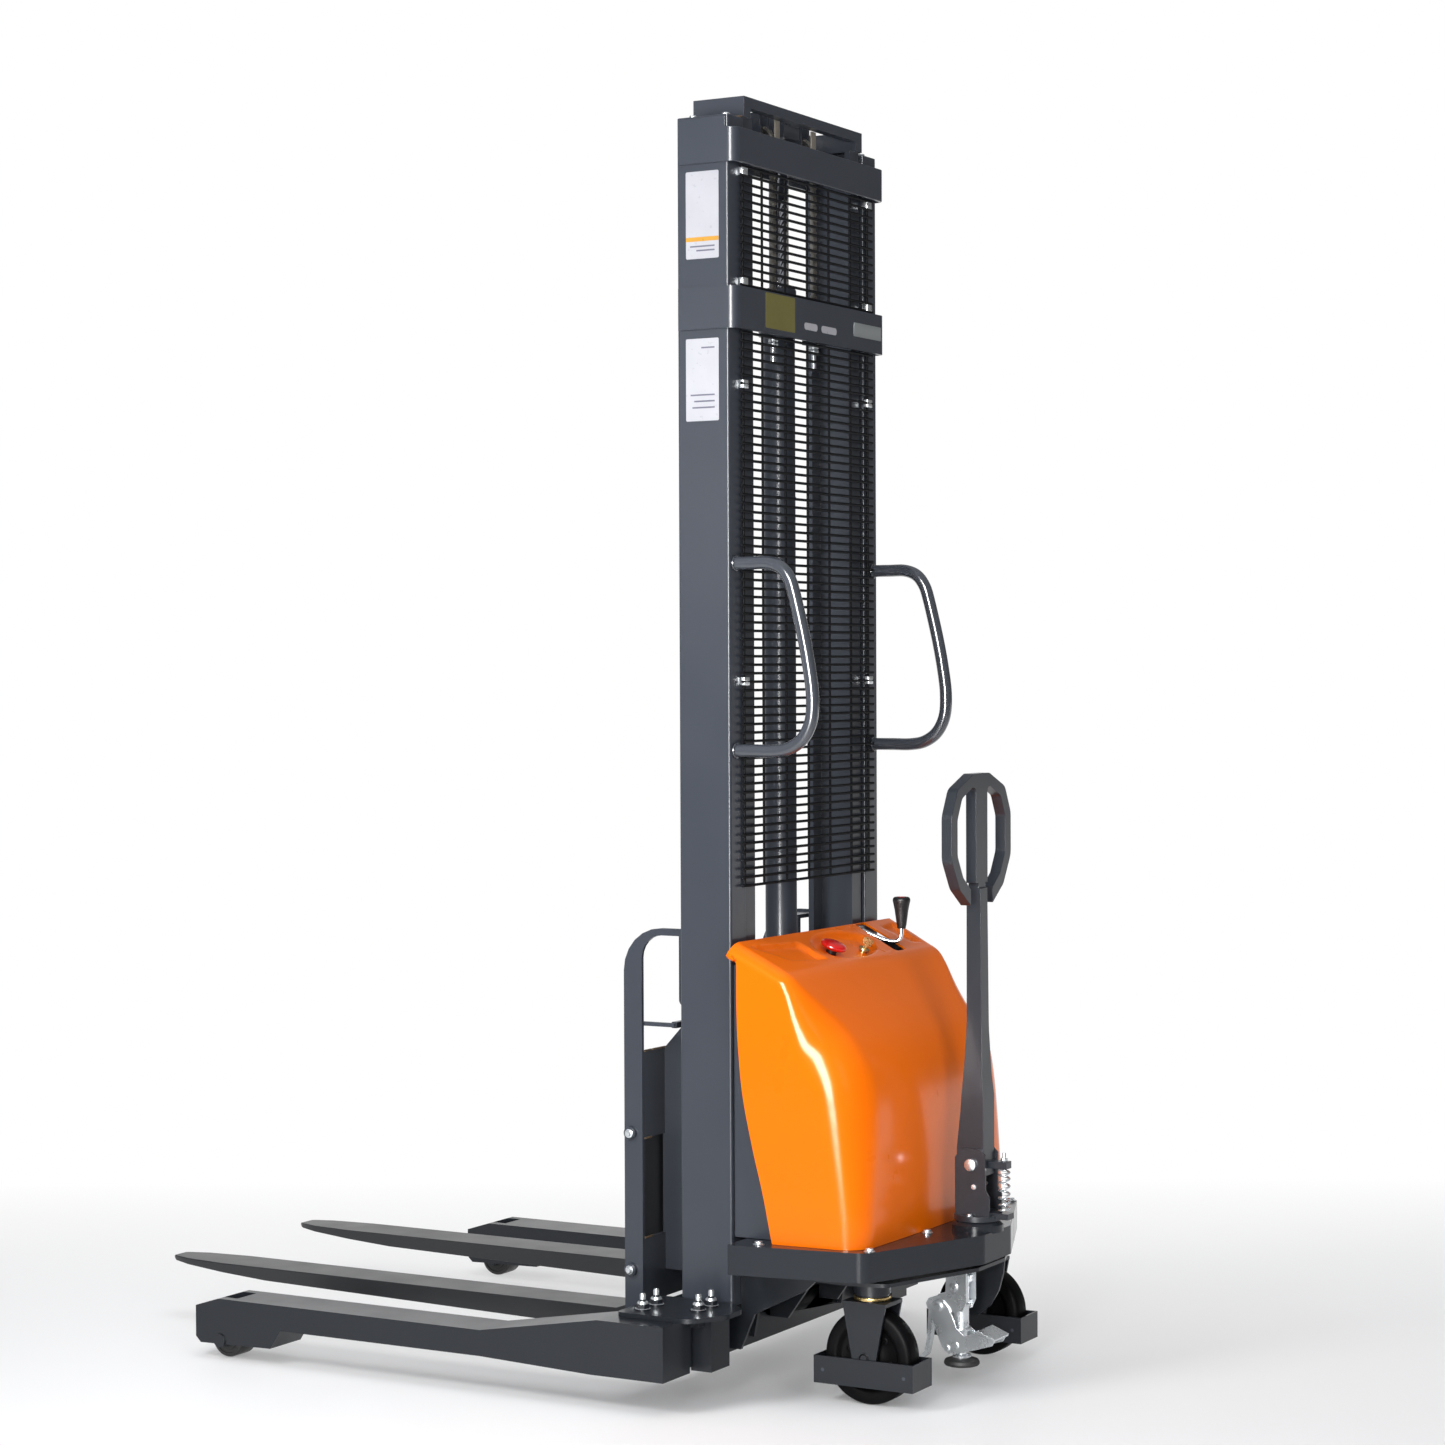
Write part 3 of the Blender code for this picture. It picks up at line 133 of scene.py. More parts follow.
def finish_of(name, colour, shade, roughness, mottle, grain, depth=0.00005, metallic=0, dust=None,
              dusty=0.35, specular=0.5, tint=(1, 1, 1), coat=0, coat_roughness=0.1, waves=None,
              stretch=(1, 1, 1)):
    """A surface whose colour, gloss and relief all vary a little.

    colour and shade are the two ends of the mottling, grain and depth the fine relief, dust the
    colour that settles in patches, and waves is (scale, depth) of slow unevenness. tint colours the
    reflection.
    """
    material = bpy.data.materials.new(name)
    material.use_nodes = True
    tree = material.node_tree
    place = node_of(tree, "TexCoord", "Object", {})
    blotches = noise(tree, place, mottle, 4, stretch)
    base = mixed(tree, remap(tree, blotches, 0.35, 0.65), colour, shade)
    if dust is not None:
        patches = noise(tree, place, mottle * 2.3, 6)
        base = mixed(tree, remap(tree, patches, 0.5, 0.8, 0, dusty), base, dust)
    patches = noise(tree, place, mottle * 5, 5, stretch)
    normal = bumped(tree, noise(tree, place, grain, 2, stretch), 0.5, depth)
    if waves is not None:
        normal = bumped(tree, noise(tree, place, waves[0], 1), 0.6, waves[1], Normal=normal)
    connect(tree, tree.nodes["Principled BSDF"], {
        "Base Color": base, "Roughness": remap(tree, patches, 0.3, 0.7, *roughness), "Normal": normal,
        "Metallic": metallic, "Specular IOR Level": specular, "Specular Tint": tint, "Coat Weight": coat,
        "Coat Roughness": coat_roughness,
    })
    return material


PAINT = {"roughness": (0.3, 0.36), "mottle": 1.6, "grain": 480, "depth": 0.00002, "dusty": 0.2,
         "waves": (5, 0.0003)}
VINYL = {"roughness": (0.26, 0.36), "mottle": 20, "grain": 900, "depth": 0.00002, "coat": 0.3}

STEEL = finish_of("steel_paint", (0.04, 0.046, 0.059), (0.037, 0.043, 0.055),
                  dust=(0.046, 0.052, 0.064), specular=0.34, coat=0.22, **PAINT)
# The mast's steel paint made about three times darker: painted shade on the legs, clamps, base frame and
# caster forks low down.
SHADED_STEEL = finish_of("steel_paint_shaded", (0.0125, 0.015, 0.0195), (0.0115, 0.0138, 0.018),
                        dust=(0.017, 0.02, 0.025), specular=0.3, coat=0.15, **PAINT)
# The steel paint made darker: painted shade on the tiller's yoke and arm.
SHADED_TILLER_STEEL = finish_of("tiller_paint_shaded", (0.024, 0.028, 0.036), (0.022, 0.026, 0.033),
                         dust=(0.029, 0.033, 0.041), specular=0.32, coat=0.2, **PAINT)
# The grab handles' steel paint: glossier than the mast's, and its colour a little lighter as painted light.
LIT_GLOSSY_STEEL = finish_of("handle_paint_lit", (0.05, 0.056, 0.068), (0.046, 0.052, 0.064), (0.16, 0.22),
                         4, 480, 0.00001, specular=0.65, coat=0.8)
DECK = finish_of("deck_paint", (0.022, 0.025, 0.031), (0.02, 0.023, 0.028), (0.13, 0.19), 2.2, 480,
                 0.00001, dust=(0.028, 0.031, 0.036), dusty=0.2, specular=0.24)
FORK_PAINT = finish_of("fork_paint", (0.02, 0.021, 0.023), (0.018, 0.019, 0.021), (0.3, 0.36), 2.2,
                       420, 0.00002, dust=(0.026, 0.026, 0.027), dusty=0.25, specular=0.45)
HOOD = finish_of("orange_gel_coat", (0.93, 0.165, 0.0006), (0.9, 0.157, 0.0006), (0.27, 0.3), 1.2,
                 300, 0.000005, specular=0.2, tint=(1, 0.45, 0.06), coat=0.42, coat_roughness=0.13,
                 waves=(2, 0.0002))
RUBBER = finish_of("black_rubber", (0.014, 0.014, 0.015), (0.022, 0.021, 0.021), (0.55, 0.75), 18,
                   900, 0.00012, dust=(0.05, 0.047, 0.043))
TYRE = finish_of("nylon_tyre", (0.003, 0.003, 0.0035), (0.005, 0.005, 0.0055), (0.42, 0.52), 9,
                 700, 0.00004, dust=(0.008, 0.0075, 0.007), specular=0.05)
PLASTIC = finish_of("black_plastic", (0.01, 0.01, 0.011), (0.014, 0.014, 0.0155), (0.34, 0.48), 9,
                    1500, 0.00012, specular=0.4)
ZINC = finish_of("zinc_plate", (0.72, 0.75, 0.77), (0.69, 0.72, 0.74), (0.26, 0.29), 4, 700,
                 0.000005, 0.8, dust=(0.67, 0.7, 0.7), dusty=0.1)
CHROME = finish_of("hard_chrome", (0.82, 0.83, 0.85), (0.76, 0.77, 0.8), (0.05, 0.12), 20, 700,
                   0.00002, 1, stretch=(1, 1, 0.03))
CHAIN = finish_of("chain_steel", (0.36, 0.345, 0.32), (0.22, 0.205, 0.185), (0.28, 0.46), 60, 900,
                  metallic=1, dust=(0.12, 0.09, 0.06))
CHAIN_DARK = finish_of("oiled_rollers", (0.16, 0.155, 0.15), (0.09, 0.085, 0.08), (0.25, 0.42), 40,
                       900, metallic=1, dust=(0.06, 0.05, 0.04))
RED = finish_of("red_button", (0.72, 0.008, 0.006), (0.64, 0.006, 0.006), (0.18, 0.28), 30, 800,
                0.00002, coat=0.5)
POLYURETHANE = finish_of("load_wheel_tread", (0.01, 0.01, 0.0105), (0.016, 0.015, 0.015), (0.32, 0.5),
                         25, 800, 0.0001, dust=(0.03, 0.028, 0.026))
BRASS = finish_of("key_brass", (0.62, 0.46, 0.2), (0.5, 0.36, 0.15), (0.22, 0.36), 60, 900,
                  metallic=1)
WIRE = finish_of("coated_wire", (0.003, 0.0035, 0.005), (0.0045, 0.005, 0.0065), (0.55, 0.65), 30,
                 900, 0.00002, specular=0.12)
WELD = finish_of("weld_bead", (0.24, 0.15, 0.075), (0.11, 0.085, 0.07), (0.35, 0.55), 80, 500,
                 0.0002, 0.55)
LABEL = finish_of("white_vinyl", (0.4, 0.4, 0.43), (0.38, 0.38, 0.41), **VINYL)
LABEL_BAND = finish_of("yellow_vinyl", (0.5, 0.25, 0.02), (0.47, 0.23, 0.02), **VINYL)
PRINT = finish_of("grey_print", (0.12, 0.12, 0.16), (0.1, 0.1, 0.14), (0.3, 0.4), 20, 900, 0.00001)
OLIVE = finish_of("olive_plate", (0.2, 0.178, 0.052), (0.185, 0.164, 0.048), (0.36, 0.46), 9, 500,
                  0.00003, 0.35)
PLATE = finish_of("aluminium_plate", (0.46, 0.49, 0.5), (0.38, 0.41, 0.42), (0.3, 0.42), 30, 500,
                  metallic=0.7, stretch=(1, 0.05, 1))
BEIGE = finish_of("beige_nylon", (0.3, 0.265, 0.215), (0.25, 0.22, 0.18), (0.42, 0.55), 35, 700,
                  0.00008, dust=(0.14, 0.12, 0.1))
HOSE = finish_of("hose_rubber", (0.016, 0.016, 0.017), (0.024, 0.023, 0.023), (0.5, 0.68), 40, 1200,
                 0.00015, dust=(0.04, 0.038, 0.035))


# ---------------- mesh helpers

def outward(bm):
    """The shape with its faces turned outwards."""
    bmesh.ops.recalc_face_normals(bm, faces=bm.faces)
    return bm


def grid_of(rows, close_across=False, close_along=False, caps=False):
    """A mesh from rows of points, each row as long as the last."""
    bm = bmesh.new()
    made = [[bm.verts.new(point) for point in row] for row in rows]
    count, width = len(made), len(made[0])
    for i in range(count if close_along else count - 1):
        near, far = made[i], made[(i + 1) % count]
        for j in range(width if close_across else width - 1):
            k = (j + 1) % width
            bm.faces.new((near[j], near[k], far[k], far[j]))
    if caps:
        bm.faces.new(made[0][::-1])
        bm.faces.new(made[-1])
    return bm


def ring_frame(axis):
    """Two directions across an axis."""
    along = axis.normalized()
    side = along.cross(UP if abs(along.z) < 0.9 else AHEAD).normalized()
    return side, along.cross(side)


def spokes(side, up, count):
    """Unit directions round a circle."""
    angles = [2 * math.pi * k / count for k in range(count)]
    return [side * math.cos(angle) + up * math.sin(angle) for angle in angles]


def lathe(profile, centre, axis, segments=72):
    """A body of revolution from (radius, height) pairs. Heights run along the axis from the centre."""
    along = axis.normalized()
    around = spokes(*ring_frame(axis), segments)
    rows = [[centre + along * height + spoke * max(radius, 1e-6) for spoke in around]
            for radius, height in profile]
    bm = grid_of(rows, close_across=True)
    bmesh.ops.remove_doubles(bm, verts=bm.verts, dist=2e-6)
    return outward(bm)


def mm(*profile, at=0):
    """A lathe profile from pairs in millimetres, with its heights measured from a place in metres."""
    return [(radius / 1000, at + height / 1000) for radius, height in profile]


def mirrored(half, near, crest=(), closed=True):
    """A lathe profile whose two ends match, from (radius, distance in from the end) in millimetres."""
    start = mm(*near, at=-half)
    end = [(radius, -height) for radius, height in reversed(start)]
    return [*start, *mm(*crest), *end, *(start[:1] if closed else ())]


def smooth_path(points, steps=8):
    """A Catmull-Rom curve through the points."""
    spots = [Vector(point) for point in points]
    spots = [spots[0] * 2 - spots[1]] + spots + [spots[-1] * 2 - spots[-2]]
    path = []
    for i in range(1, len(spots) - 2):
        a, b, c, d = spots[i - 1:i + 3]
        for k in range(steps):
            t = k / steps
            path.append(0.5 * (2 * b + (c - a) * t + (2 * a - 5 * b + 4 * c - d) * t * t
                               + (3 * b - 3 * c + d - a) * t ** 3))
    path.append(spots[-2])
    return path


def tube(path, radius, segments=20, sizes=None, closed=False):
    """A round bar along a path. sizes gives the radius at each step."""
    spots = [Vector(point) for point in path]
    count = len(spots)
    rows = []
    side = None
    for i, spot in enumerate(spots):
        before = spots[i - 1] if closed or i > 0 else spot
        after = spots[(i + 1) % count] if closed or i < count - 1 else spot
        along = (after - before).normalized()
        if side is None:
            side = ring_frame(along)[0]
        side = (side - along * side.dot(along)).normalized()
        size = sizes[i] if sizes else radius
        rows.append([spot + spoke * size for spoke in spokes(side, along.cross(side), segments)])
    return outward(grid_of(rows, close_across=True, close_along=closed, caps=not closed))


def cross_pin(x, y, z, reach, radius, segments=10):
    """A round pin that lies across the machine."""
    return tube([(x, y - reach, z), (x, y + reach, z)], radius, segments)


def block(low, high, bevel):
    bm = bmesh.new()
    bmesh.ops.create_cube(bm, size=1)
    low, high = Vector(low), Vector(high)
    for vert in bm.verts:
        vert.co = Vector([(low[i] + high[i]) / 2 + vert.co[i] * (high[i] - low[i]) for i in range(3)])
    bmesh.ops.bevel(bm, geom=bm.edges, offset=bevel, segments=2, affect="EDGES", profile=0.5)
    return bm


def prism(outline, axis, start, end, bevel=0, segments=2):
    """An outline pushed along X, Y or Z. Its points are the other two coordinates, in X, Y, Z order."""
    order = {"X": (2, 0, 1), "Y": (0, 2, 1), "Z": (0, 1, 2)}[axis]
    bm = bmesh.new()
    first, last = ([bm.verts.new([(a, b, height)[k] for k in order]) for a, b in outline]
                   for height in (start, end))
    bm.faces.new(first)
    bm.faces.new(last)
    for i in range(len(outline)):
        j = (i + 1) % len(outline)
        bm.faces.new((first[i], first[j], last[j], last[i]))
    outward(bm)
    if bevel > 0:
        sharp = [edge for edge in bm.edges if edge.calc_face_angle(0) > math.radians(40)]
        bmesh.ops.bevel(bm, geom=sharp, offset=bevel, segments=segments, affect="EDGES", profile=0.5)
    return bm


def rounded(corners, steps=6):
    """A polygon's corners (a, b, radius) as points, each corner an arc."""
    points = []
    count = len(corners)
    for i in range(count):
        spot = Vector(corners[i][:2])
        radius = corners[i][2]
        if radius <= 0:
            points.append(tuple(spot))
            continue
        before = (Vector(corners[i - 1][:2]) - spot).normalized()
        after = (Vector(corners[(i + 1) % count][:2]) - spot).normalized()
        half = math.acos(max(-1, min(1, before.dot(after)))) / 2
        reach = radius / math.tan(half)
        centre = spot + (before + after).normalized() * (radius / math.sin(half))
        first = spot + before * reach - centre
        last = spot + after * reach - centre
        turn = math.atan2(first.x * last.y - first.y * last.x, first.dot(last))
        for k in range(steps + 1):
            points.append(tuple(centre + Matrix.Rotation(turn * k / steps, 2) @ first))
    return points


def round_rectangle(a, b, radius):
    """An outline between two ends each way, with round corners."""
    return rounded(((a[0], b[0], radius), (a[1], b[0], radius), (a[1], b[1], radius), (a[0], b[1], radius)))


def merged(shapes):
    """Several shapes as one."""
    bm = bmesh.new()
    for shape in shapes:
        mesh = bpy.data.meshes.new("part")
        shape.to_mesh(mesh)
        shape.free()
        bm.from_mesh(mesh)
        bpy.data.meshes.remove(mesh)
    return bm


def placed(shape, matrix):
    shape.transform(matrix)
    return shape


def thing(name, shape, material):
    """A named object, made of one shape or several, with smooth faces and crisp edges."""
    if isinstance(shape, list):
        shape = merged(shape)
    mesh = bpy.data.meshes.new(name)
    shape.to_mesh(mesh)
    shape.free()
    mesh.materials.append(material)
    mesh.shade_smooth()
    mesh.set_sharp_from_angle(angle=math.radians(38))
    obj = bpy.data.objects.new(name, mesh)
    bpy.context.scene.collection.objects.link(obj)
    return obj


def piece(name, shape, material, body, replaces=()):
    """A named object that rides on a CAD body and stands for the nodes that it replaces."""
    obj = thing(name, shape, material)
    if body is not None:
        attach(obj, body)
    if replaces:
        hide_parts(*replaces)
    return obj


def hexagon(centre, axis, across, height):
    """A hexagonal bolt head or nut, with its corners turned off."""
    along = axis.normalized()
    around = spokes(*ring_frame(axis), 18)
    corner = across / math.sqrt(3)
    rows = []
    for share, level in ((0.9, 0), (1, 0.1), (1, 0.84), (0.84, 1)):
        row = []
        for k, spoke in enumerate(around):
            angle = 2 * math.pi * k / 18
            to_flat = corner * math.cos(math.pi / 6) / math.cos((angle % (math.pi / 3)) - math.pi / 6)
            row.append(centre + along * height * level + spoke * min(to_flat, corner * share))
        rows.append(row)
    return outward(grid_of(rows, close_across=True, caps=True))


def bolt(centre, axis, across, head, washer, stub=0):
    """A washer, a hexagonal head and the bolt's end, standing on a surface."""
    ring = ((0, 0), (across * 0.8, 0), (across * 0.82, washer * 0.3), (across * 0.82, washer * 0.8),
            (across * 0.78, washer), (0, washer))
    shapes = [lathe(ring, centre, axis, 32), hexagon(centre + axis * washer, axis, across, head)]
    if stub > 0:
        top = washer + head
        radius = across * 0.3
        end = ((0, top - 0.001), (radius, top - 0.001), (radius, top + stub * 0.8),
               (radius * 0.8, top + stub), (0, top + stub))
        shapes.append(lathe(end, centre, axis, 24))
    return merged(shapes)


def bead(start, end, radius, seed):
    """A straight weld bead: a bar with the ripples of its passes."""
    chance = random.Random(seed)
    start, end = Vector(start), Vector(end)
    count = max(2, int((end - start).length / (radius * 0.55)))
    spots = [start.lerp(end, k / count) for k in range(count + 1)]
    sizes = [radius * (0.86 + 0.1 * math.sin(i * 2.4) + chance.uniform(-0.05, 0.05))
             for i in range(count + 1)]
    return tube(spots, radius, 10, sizes)


# ---------------- CAD nodes that stay

def modify(obj, name, kind, **settings):
    modifier = obj.modifiers.new(name, kind)
    for key, value in settings.items():
        setattr(modifier, key, value)


def refine(node, material, width):
    """The node keeps its shape. Its edges are eased and its flat faces read flat."""
    obj = nodes[node]
    mesh = obj.data
    mesh.materials.clear()
    mesh.materials.append(material)
    mesh.shade_smooth()
    attribute = mesh.attributes.get("custom_normal")
    if attribute is not None:
        mesh.attributes.remove(attribute)
    modify(obj, "weld", "WELD", merge_threshold=0.00001)
    modify(obj, "flat", "DECIMATE", decimate_type="DISSOLVE", angle_limit=math.radians(0.6))
    modify(obj, "edges", "BEVEL", width=width, segments=3 if width > 0.002 else 2, limit_method="ANGLE",
           angle_limit=math.radians(30), miter_outer="MITER_ARC")
    modify(obj, "normals", "WEIGHTED_NORMAL", mode="FACE_AREA", keep_sharp=True)


def refine_nodes():
    kept = (
        (("outer_mast_left", "outer_mast_right"), STEEL, 0.0032),
        (("inner_mast", "fork_carriage"), STEEL, 0.0012),
        (("upper_brace", "middle_brace"), STEEL, 0.0014),
        (("chassis_shroud",), STEEL, 0.0006),
        (("oil_tank",), STEEL, 0.0015),
        (("straddle_leg_left", "straddle_leg_right"), SHADED_STEEL, 0.0022),
        (("leg_clamp_left", "leg_clamp_right"), SHADED_STEEL, 0.0008),
        (("base_frame",), SHADED_STEEL, 0.0016),
        (("caster_fork_left", "caster_fork_right"), SHADED_STEEL, 0.0007),
        (("platform_deck",), DECK, 0.0016),
        (("fork_left", "fork_right"), FORK_PAINT, 0.0022),
        (("tiller_yoke",), SHADED_TILLER_STEEL, 0.001),
        (("tiller_arm",), SHADED_TILLER_STEEL, 0.0028),
        (("battery",), PLASTIC, 0.002),
        (("pump_motor",), PLASTIC, 0.0015),
        (("brake_bracket",), ZINC, 0.0005),
        (("brake_pedal", "brake_release"), ZINC, 0.0006),
        (("tie_rod_left", "tie_rod_right"), ZINC, 0.0004),
    )
    for names, material, width in kept:
        for node in names:
            refine(node, material, width)


# ---------------- mast

CYLINDER_X = MAST_REAR + 0.06
GUARD_WIRES = (("mesh_guard_upper", 14), ("mesh_guard_lower", 65))
GUARD_UPRIGHTS = (-0.262, -0.185, -0.092, 0, 0.092, 0.185, 0.262)
CLIP_HEIGHTS = (2.333, 2.123, 1.928, 1.36)
CLIP_Y = 0.262


def build_guards():
    """Mesh guards of welded round wire: close horizontal wires on a few uprights."""
    for node, count in GUARD_WIRES:
        low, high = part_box(node)
        x = low.x + 0.0026
        shapes = []
        for k in range(count + 1):
            z = low.z + 0.0026 + (high.z - low.z - 0.0052) * k / count
            shapes.append(cross_pin(x, 0, z, high.y - 0.0025, 0.0028))
        for y in GUARD_UPRIGHTS:
            shapes.append(tube([(x + 0.0042, y, low.z), (x + 0.0042, y, high.z)], 0.0026, 10))
        piece(node + "_wires", shapes, WIRE, "chassis", [node])
    clips = []
    for z in CLIP_HEIGHTS:
        for side, _ in SIDES:
            spot = mast(-0.0098, side * CLIP_Y, z)
            low, high = spot - Vector((0, 0.011, 0.008)), spot + Vector((0.0095, 0.011, 0.008))
            clips.append(block(low, high, 0.0012))
            clips.append(bolt(spot, -AHEAD, 0.007, 0.0001, 0.0001))
    piece("guard_clips", clips, ZINC, "chassis")


HANDLE_TOP = 1.585
HANDLE_FOOT = 1.228
HANDLE_PATH = (
    (0, HANDLE_TOP), (-0.04, HANDLE_TOP), (-0.074, 1.5845), (-0.1, 1.575), (-0.117, 1.555),
    (-0.128, 1.525), (-0.149, 1.44), (-0.162, 1.37), (-0.1665, 1.325), (-0.163, 1.285), (-0.146, 1.253),
    (-0.118, 1.234), (-0.085, HANDLE_FOOT), (-0.045, HANDLE_FOOT), (0, HANDLE_FOOT),
)


def build_handles():
    """A bent round bar, with a bead of weld where each end meets the mast."""
    for _, word in SIDES:
        node = f"grab_handle_{word}"
        y = middle(node).y
        path = smooth_path([mast(x, y, z) for x, z in HANDLE_PATH], 6)
        path[0].x = path[-1].x = MAST_REAR - 0.0004
        shapes = [tube(path, 0.0125, 28)]
        sizes = [0.0019 + 0.0003 * math.sin(k * 2.1) for k in range(40)]
        for z in (HANDLE_TOP, HANDLE_FOOT):
            ring = [mast(-0.0026, y, z) + spoke * 0.0135 for spoke in spokes(ACROSS, UP, 40)]
            shapes.append(tube(ring, 0.002, 8, sizes, closed=True))
        piece(node + "_bar", shapes, LIT_GLOSSY_STEEL, "chassis", [node])


def build_cylinder():
    """The barrel with its gland and bands, the wiper and the chromed rod."""
    low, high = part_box("lift_cylinder")
    centre = Vector((CYLINDER_X, 0, 0))
    foot, top = low.z, high.z
    barrel = mm((0, 0), (38, 0), (40, 2), (40, 26), (38.5, 28), (33.5, 30), (31.5, 34), at=foot)
    barrel += mm((31.5, -46), (31.2, -44), (31.2, -40), (33.6, -38), (34.5, -36), (34.5, -4), (33, -1),
                 (21.5, 0), (20.7, -2), (20.7, -30), (0, -30), at=top)
    shapes = [lathe(barrel, centre, UP, 96)]
    for z in (1.02, 1.72):
        shapes.append(lathe(mm((31.3, 0), (32.8, 1), (32.8, 6), (31.3, 7), at=z), centre, UP))
    piece("lift_cylinder_barrel", shapes, STEEL, "chassis", ["lift_cylinder"])
    wiper = mm((20.8, -0.5), (29, -0.5), (28.5, 0.2), (23.5, 0.2), (21, -0.2), at=top)
    piece("cylinder_wiper", lathe(wiper, centre, UP), RUBBER, "chassis")
    low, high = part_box("piston_rod")
    rod = mm((0, 0), (19, 0), (20, 2), at=low.z)
    rod += mm((20, -16), (18.8, -13), (13, -11), (13, 0), (0, 0), at=high.z)
    piece("piston_rod_bar", lathe(rod, centre, UP, 96), CHROME, "mast_stage", ["piston_rod"])


LINK_PITCH = 0.0127
LEAF_THICK = 0.0027
LANES = 5
LANE_STEP = 0.0032
CHAIN_REAR_X = MAST_REAR + 0.0272
CHAIN_FRONT_X = MAST_REAR + 0.0928
CHAIN_TURN = 0.0328
ANCHOR_TOP = 2.066


def leaf(x, y, low, high, tall=0.0043):
    """One leaf of a leaf chain: two round ends and a waist, flat across Y."""
    outline = []
    for z, start, waist in ((high, 0, -0.78), (low, math.pi, 0.78)):
        for k in range(7):
            angle = start + math.pi * k / 6
            outline.append((x + tall * math.cos(angle), z + tall * math.sin(angle)))
        outline.append((x + tall * waist, (low + high) / 2))
    return prism(outline, "Y", y - LEAF_THICK / 2, y + LEAF_THICK / 2)


def lane_y(y, lane):
    return y + LANE_STEP * (lane - (LANES - 1) / 2)


def link_pin(x, y, z):
    return cross_pin(x, y, z, 0.0083, 0.0021)


def leaf_chain(x, y, low, high):
    """A straight strand with its leaves in turn on odd and even joints."""
    count = max(2, round((high - low) / LINK_PITCH))
    pitch = (high - low) / count
    shapes = []
    for lane in range(LANES):
        for k in range(lane % 2, count, 2):
            shapes.append(leaf(x, lane_y(y, lane), low + k * pitch, low + (k + 1) * pitch))
        if lane % 2:
            shapes.append(leaf(x, lane_y(y, lane), low, low + 0.0004))
    shapes += [link_pin(x, y, low + k * pitch) for k in range(count + 1)]
    return merged(shapes)


def chain_anchor(y, foot):
    """The fork, nuts and threaded end that hold the rear strand."""
    x = CHAIN_REAR_X
    stud = mm((0, 0), (4.2, 0), (5, 1), at=foot) + mm((5, 0), (0, 0), at=2.049)
    return merged([
        block((x - 0.008, y - 0.012, 2.048), (x + 0.008, y + 0.012, 2.069), 0.0012),
        lathe(stud, Vector((x, y, 0)), UP, 24),
        hexagon(Vector((x, y, 2.0335)), -UP, 0.018, 0.0075),
        hexagon(Vector((x, y, 2.025)), -UP, 0.018, 0.0065),
        cross_pin(x, y, 2.062, 0.0122, 0.003, 14),
    ])


def chain_bend(y, z, count=8):
    """The half turn of chain over its sheave."""
    shapes = []
    half = CHAIN_TURN * math.pi / count / 2
    out = Matrix.Translation((CHAIN_TURN, 0, 0))
    for k in range(count):
        turn = Matrix.Rotation(-math.pi * (k + 0.5) / count, 4, "Y")
        for lane in range(k % 2, LANES, 2):
            link = leaf(0, lane_y(y, lane), -half, half, 0.0042)
            shapes.append(placed(link, Matrix.Translation((CYLINDER_X, 0, z)) @ turn @ out))
        angle = math.pi * k / count
        x = CYLINDER_X + CHAIN_TURN * math.cos(angle)
        shapes.append(link_pin(x, y, z + CHAIN_TURN * math.sin(angle)))
    return merged(shapes)


def build_chains():
    """Two chains, each a rear strand, a turn over its sheave and a front strand."""
    top = middle("chain_sheave_left").z
    for _, word in SIDES:
        node = f"lift_chain_rear_{word}"
        low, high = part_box(node)
        x, y = CHAIN_REAR_X, middle(node).y
        rear = piece(node + "_links", leaf_chain(x, y, ANCHOR_TOP, high.z - 0.001), CHAIN, None, [node])
        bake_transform(rear)
        piece(f"chain_anchor_{word}", chain_anchor(y, low.z), ZINC, "chassis")
        node = f"lift_chain_front_{word}"
        x, foot = CHAIN_FRONT_X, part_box(node)[0].z
        front = piece(node + "_links", leaf_chain(x, y, foot + 0.03, top), CHAIN, None, [node])
        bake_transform(front)
        piece(f"chain_bend_{word}", chain_bend(y, top), CHAIN, "mast_stage")
        clevis = [block((x - 0.0062, y - 0.0112, foot), (x + 0.0062, y + 0.0112, foot + 0.032), 0.0012),
                  cross_pin(x, y, foot + 0.024, 0.0114, 0.003, 14)]
        piece(f"chain_clevis_{word}", clevis, CHAIN, "carriage")


def build_rollers():
    """Sheaves with a groove, and bearings with a seal, a recessed face and a turned outer ring."""
    for _, word in SIDES:
        node = f"chain_sheave_{word}"
        low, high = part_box(node)
        rim = (high.z - low.z) * 500
        profile = mirrored((high.y - low.y) / 2, (
            (8.6, 1), (14, 1), (15, 3), (25, 3), (26.2, 0), (rim - 0.8, 0), (rim, 1), (rim - 0.4, 2.5),
            (28.4, 3.2),
        ), [(28.1, 0)])
        piece(node + "_wheel", lathe(profile, middle(node), ACROSS), CHAIN_DARK, node, [node])
    names = [f"mast_roller_{word}" for _, word in SIDES]
    names += [f"carriage_roller_{level}_{word}" for level in ("lower", "upper") for _, word in SIDES]
    for node in names:
        low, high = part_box(node)
        way = 1 if high.y > 0 else -1
        tread = 0.029 if node.startswith("carriage") else 0.0335
        depth = high.y - low.y
        radius = (high.z - low.z) / 2
        centre = middle(node)
        centre.y = low.y if way > 0 else high.y
        start = depth - tread
        profile = (
            (0, 0), (0.0112, 0), (0.012, 0.0008), (0.012, start + 0.0015), (radius * 0.62, start + 0.0015),
            (radius * 0.66, start + 0.0004), (radius - 0.0022, start + 0.0002), (radius, start + 0.003),
            (radius, depth - 0.003), (radius - 0.0022, depth - 0.0003), (radius * 0.7, depth),
            (radius * 0.66, depth - 0.0012), (radius * 0.34, depth - 0.0012), (radius * 0.3, depth - 0.0002),
            (0, depth - 0.0002),
        )
        piece(node + "_bearing", lathe(profile, centre, ACROSS * way), CHAIN_DARK, node, [node])


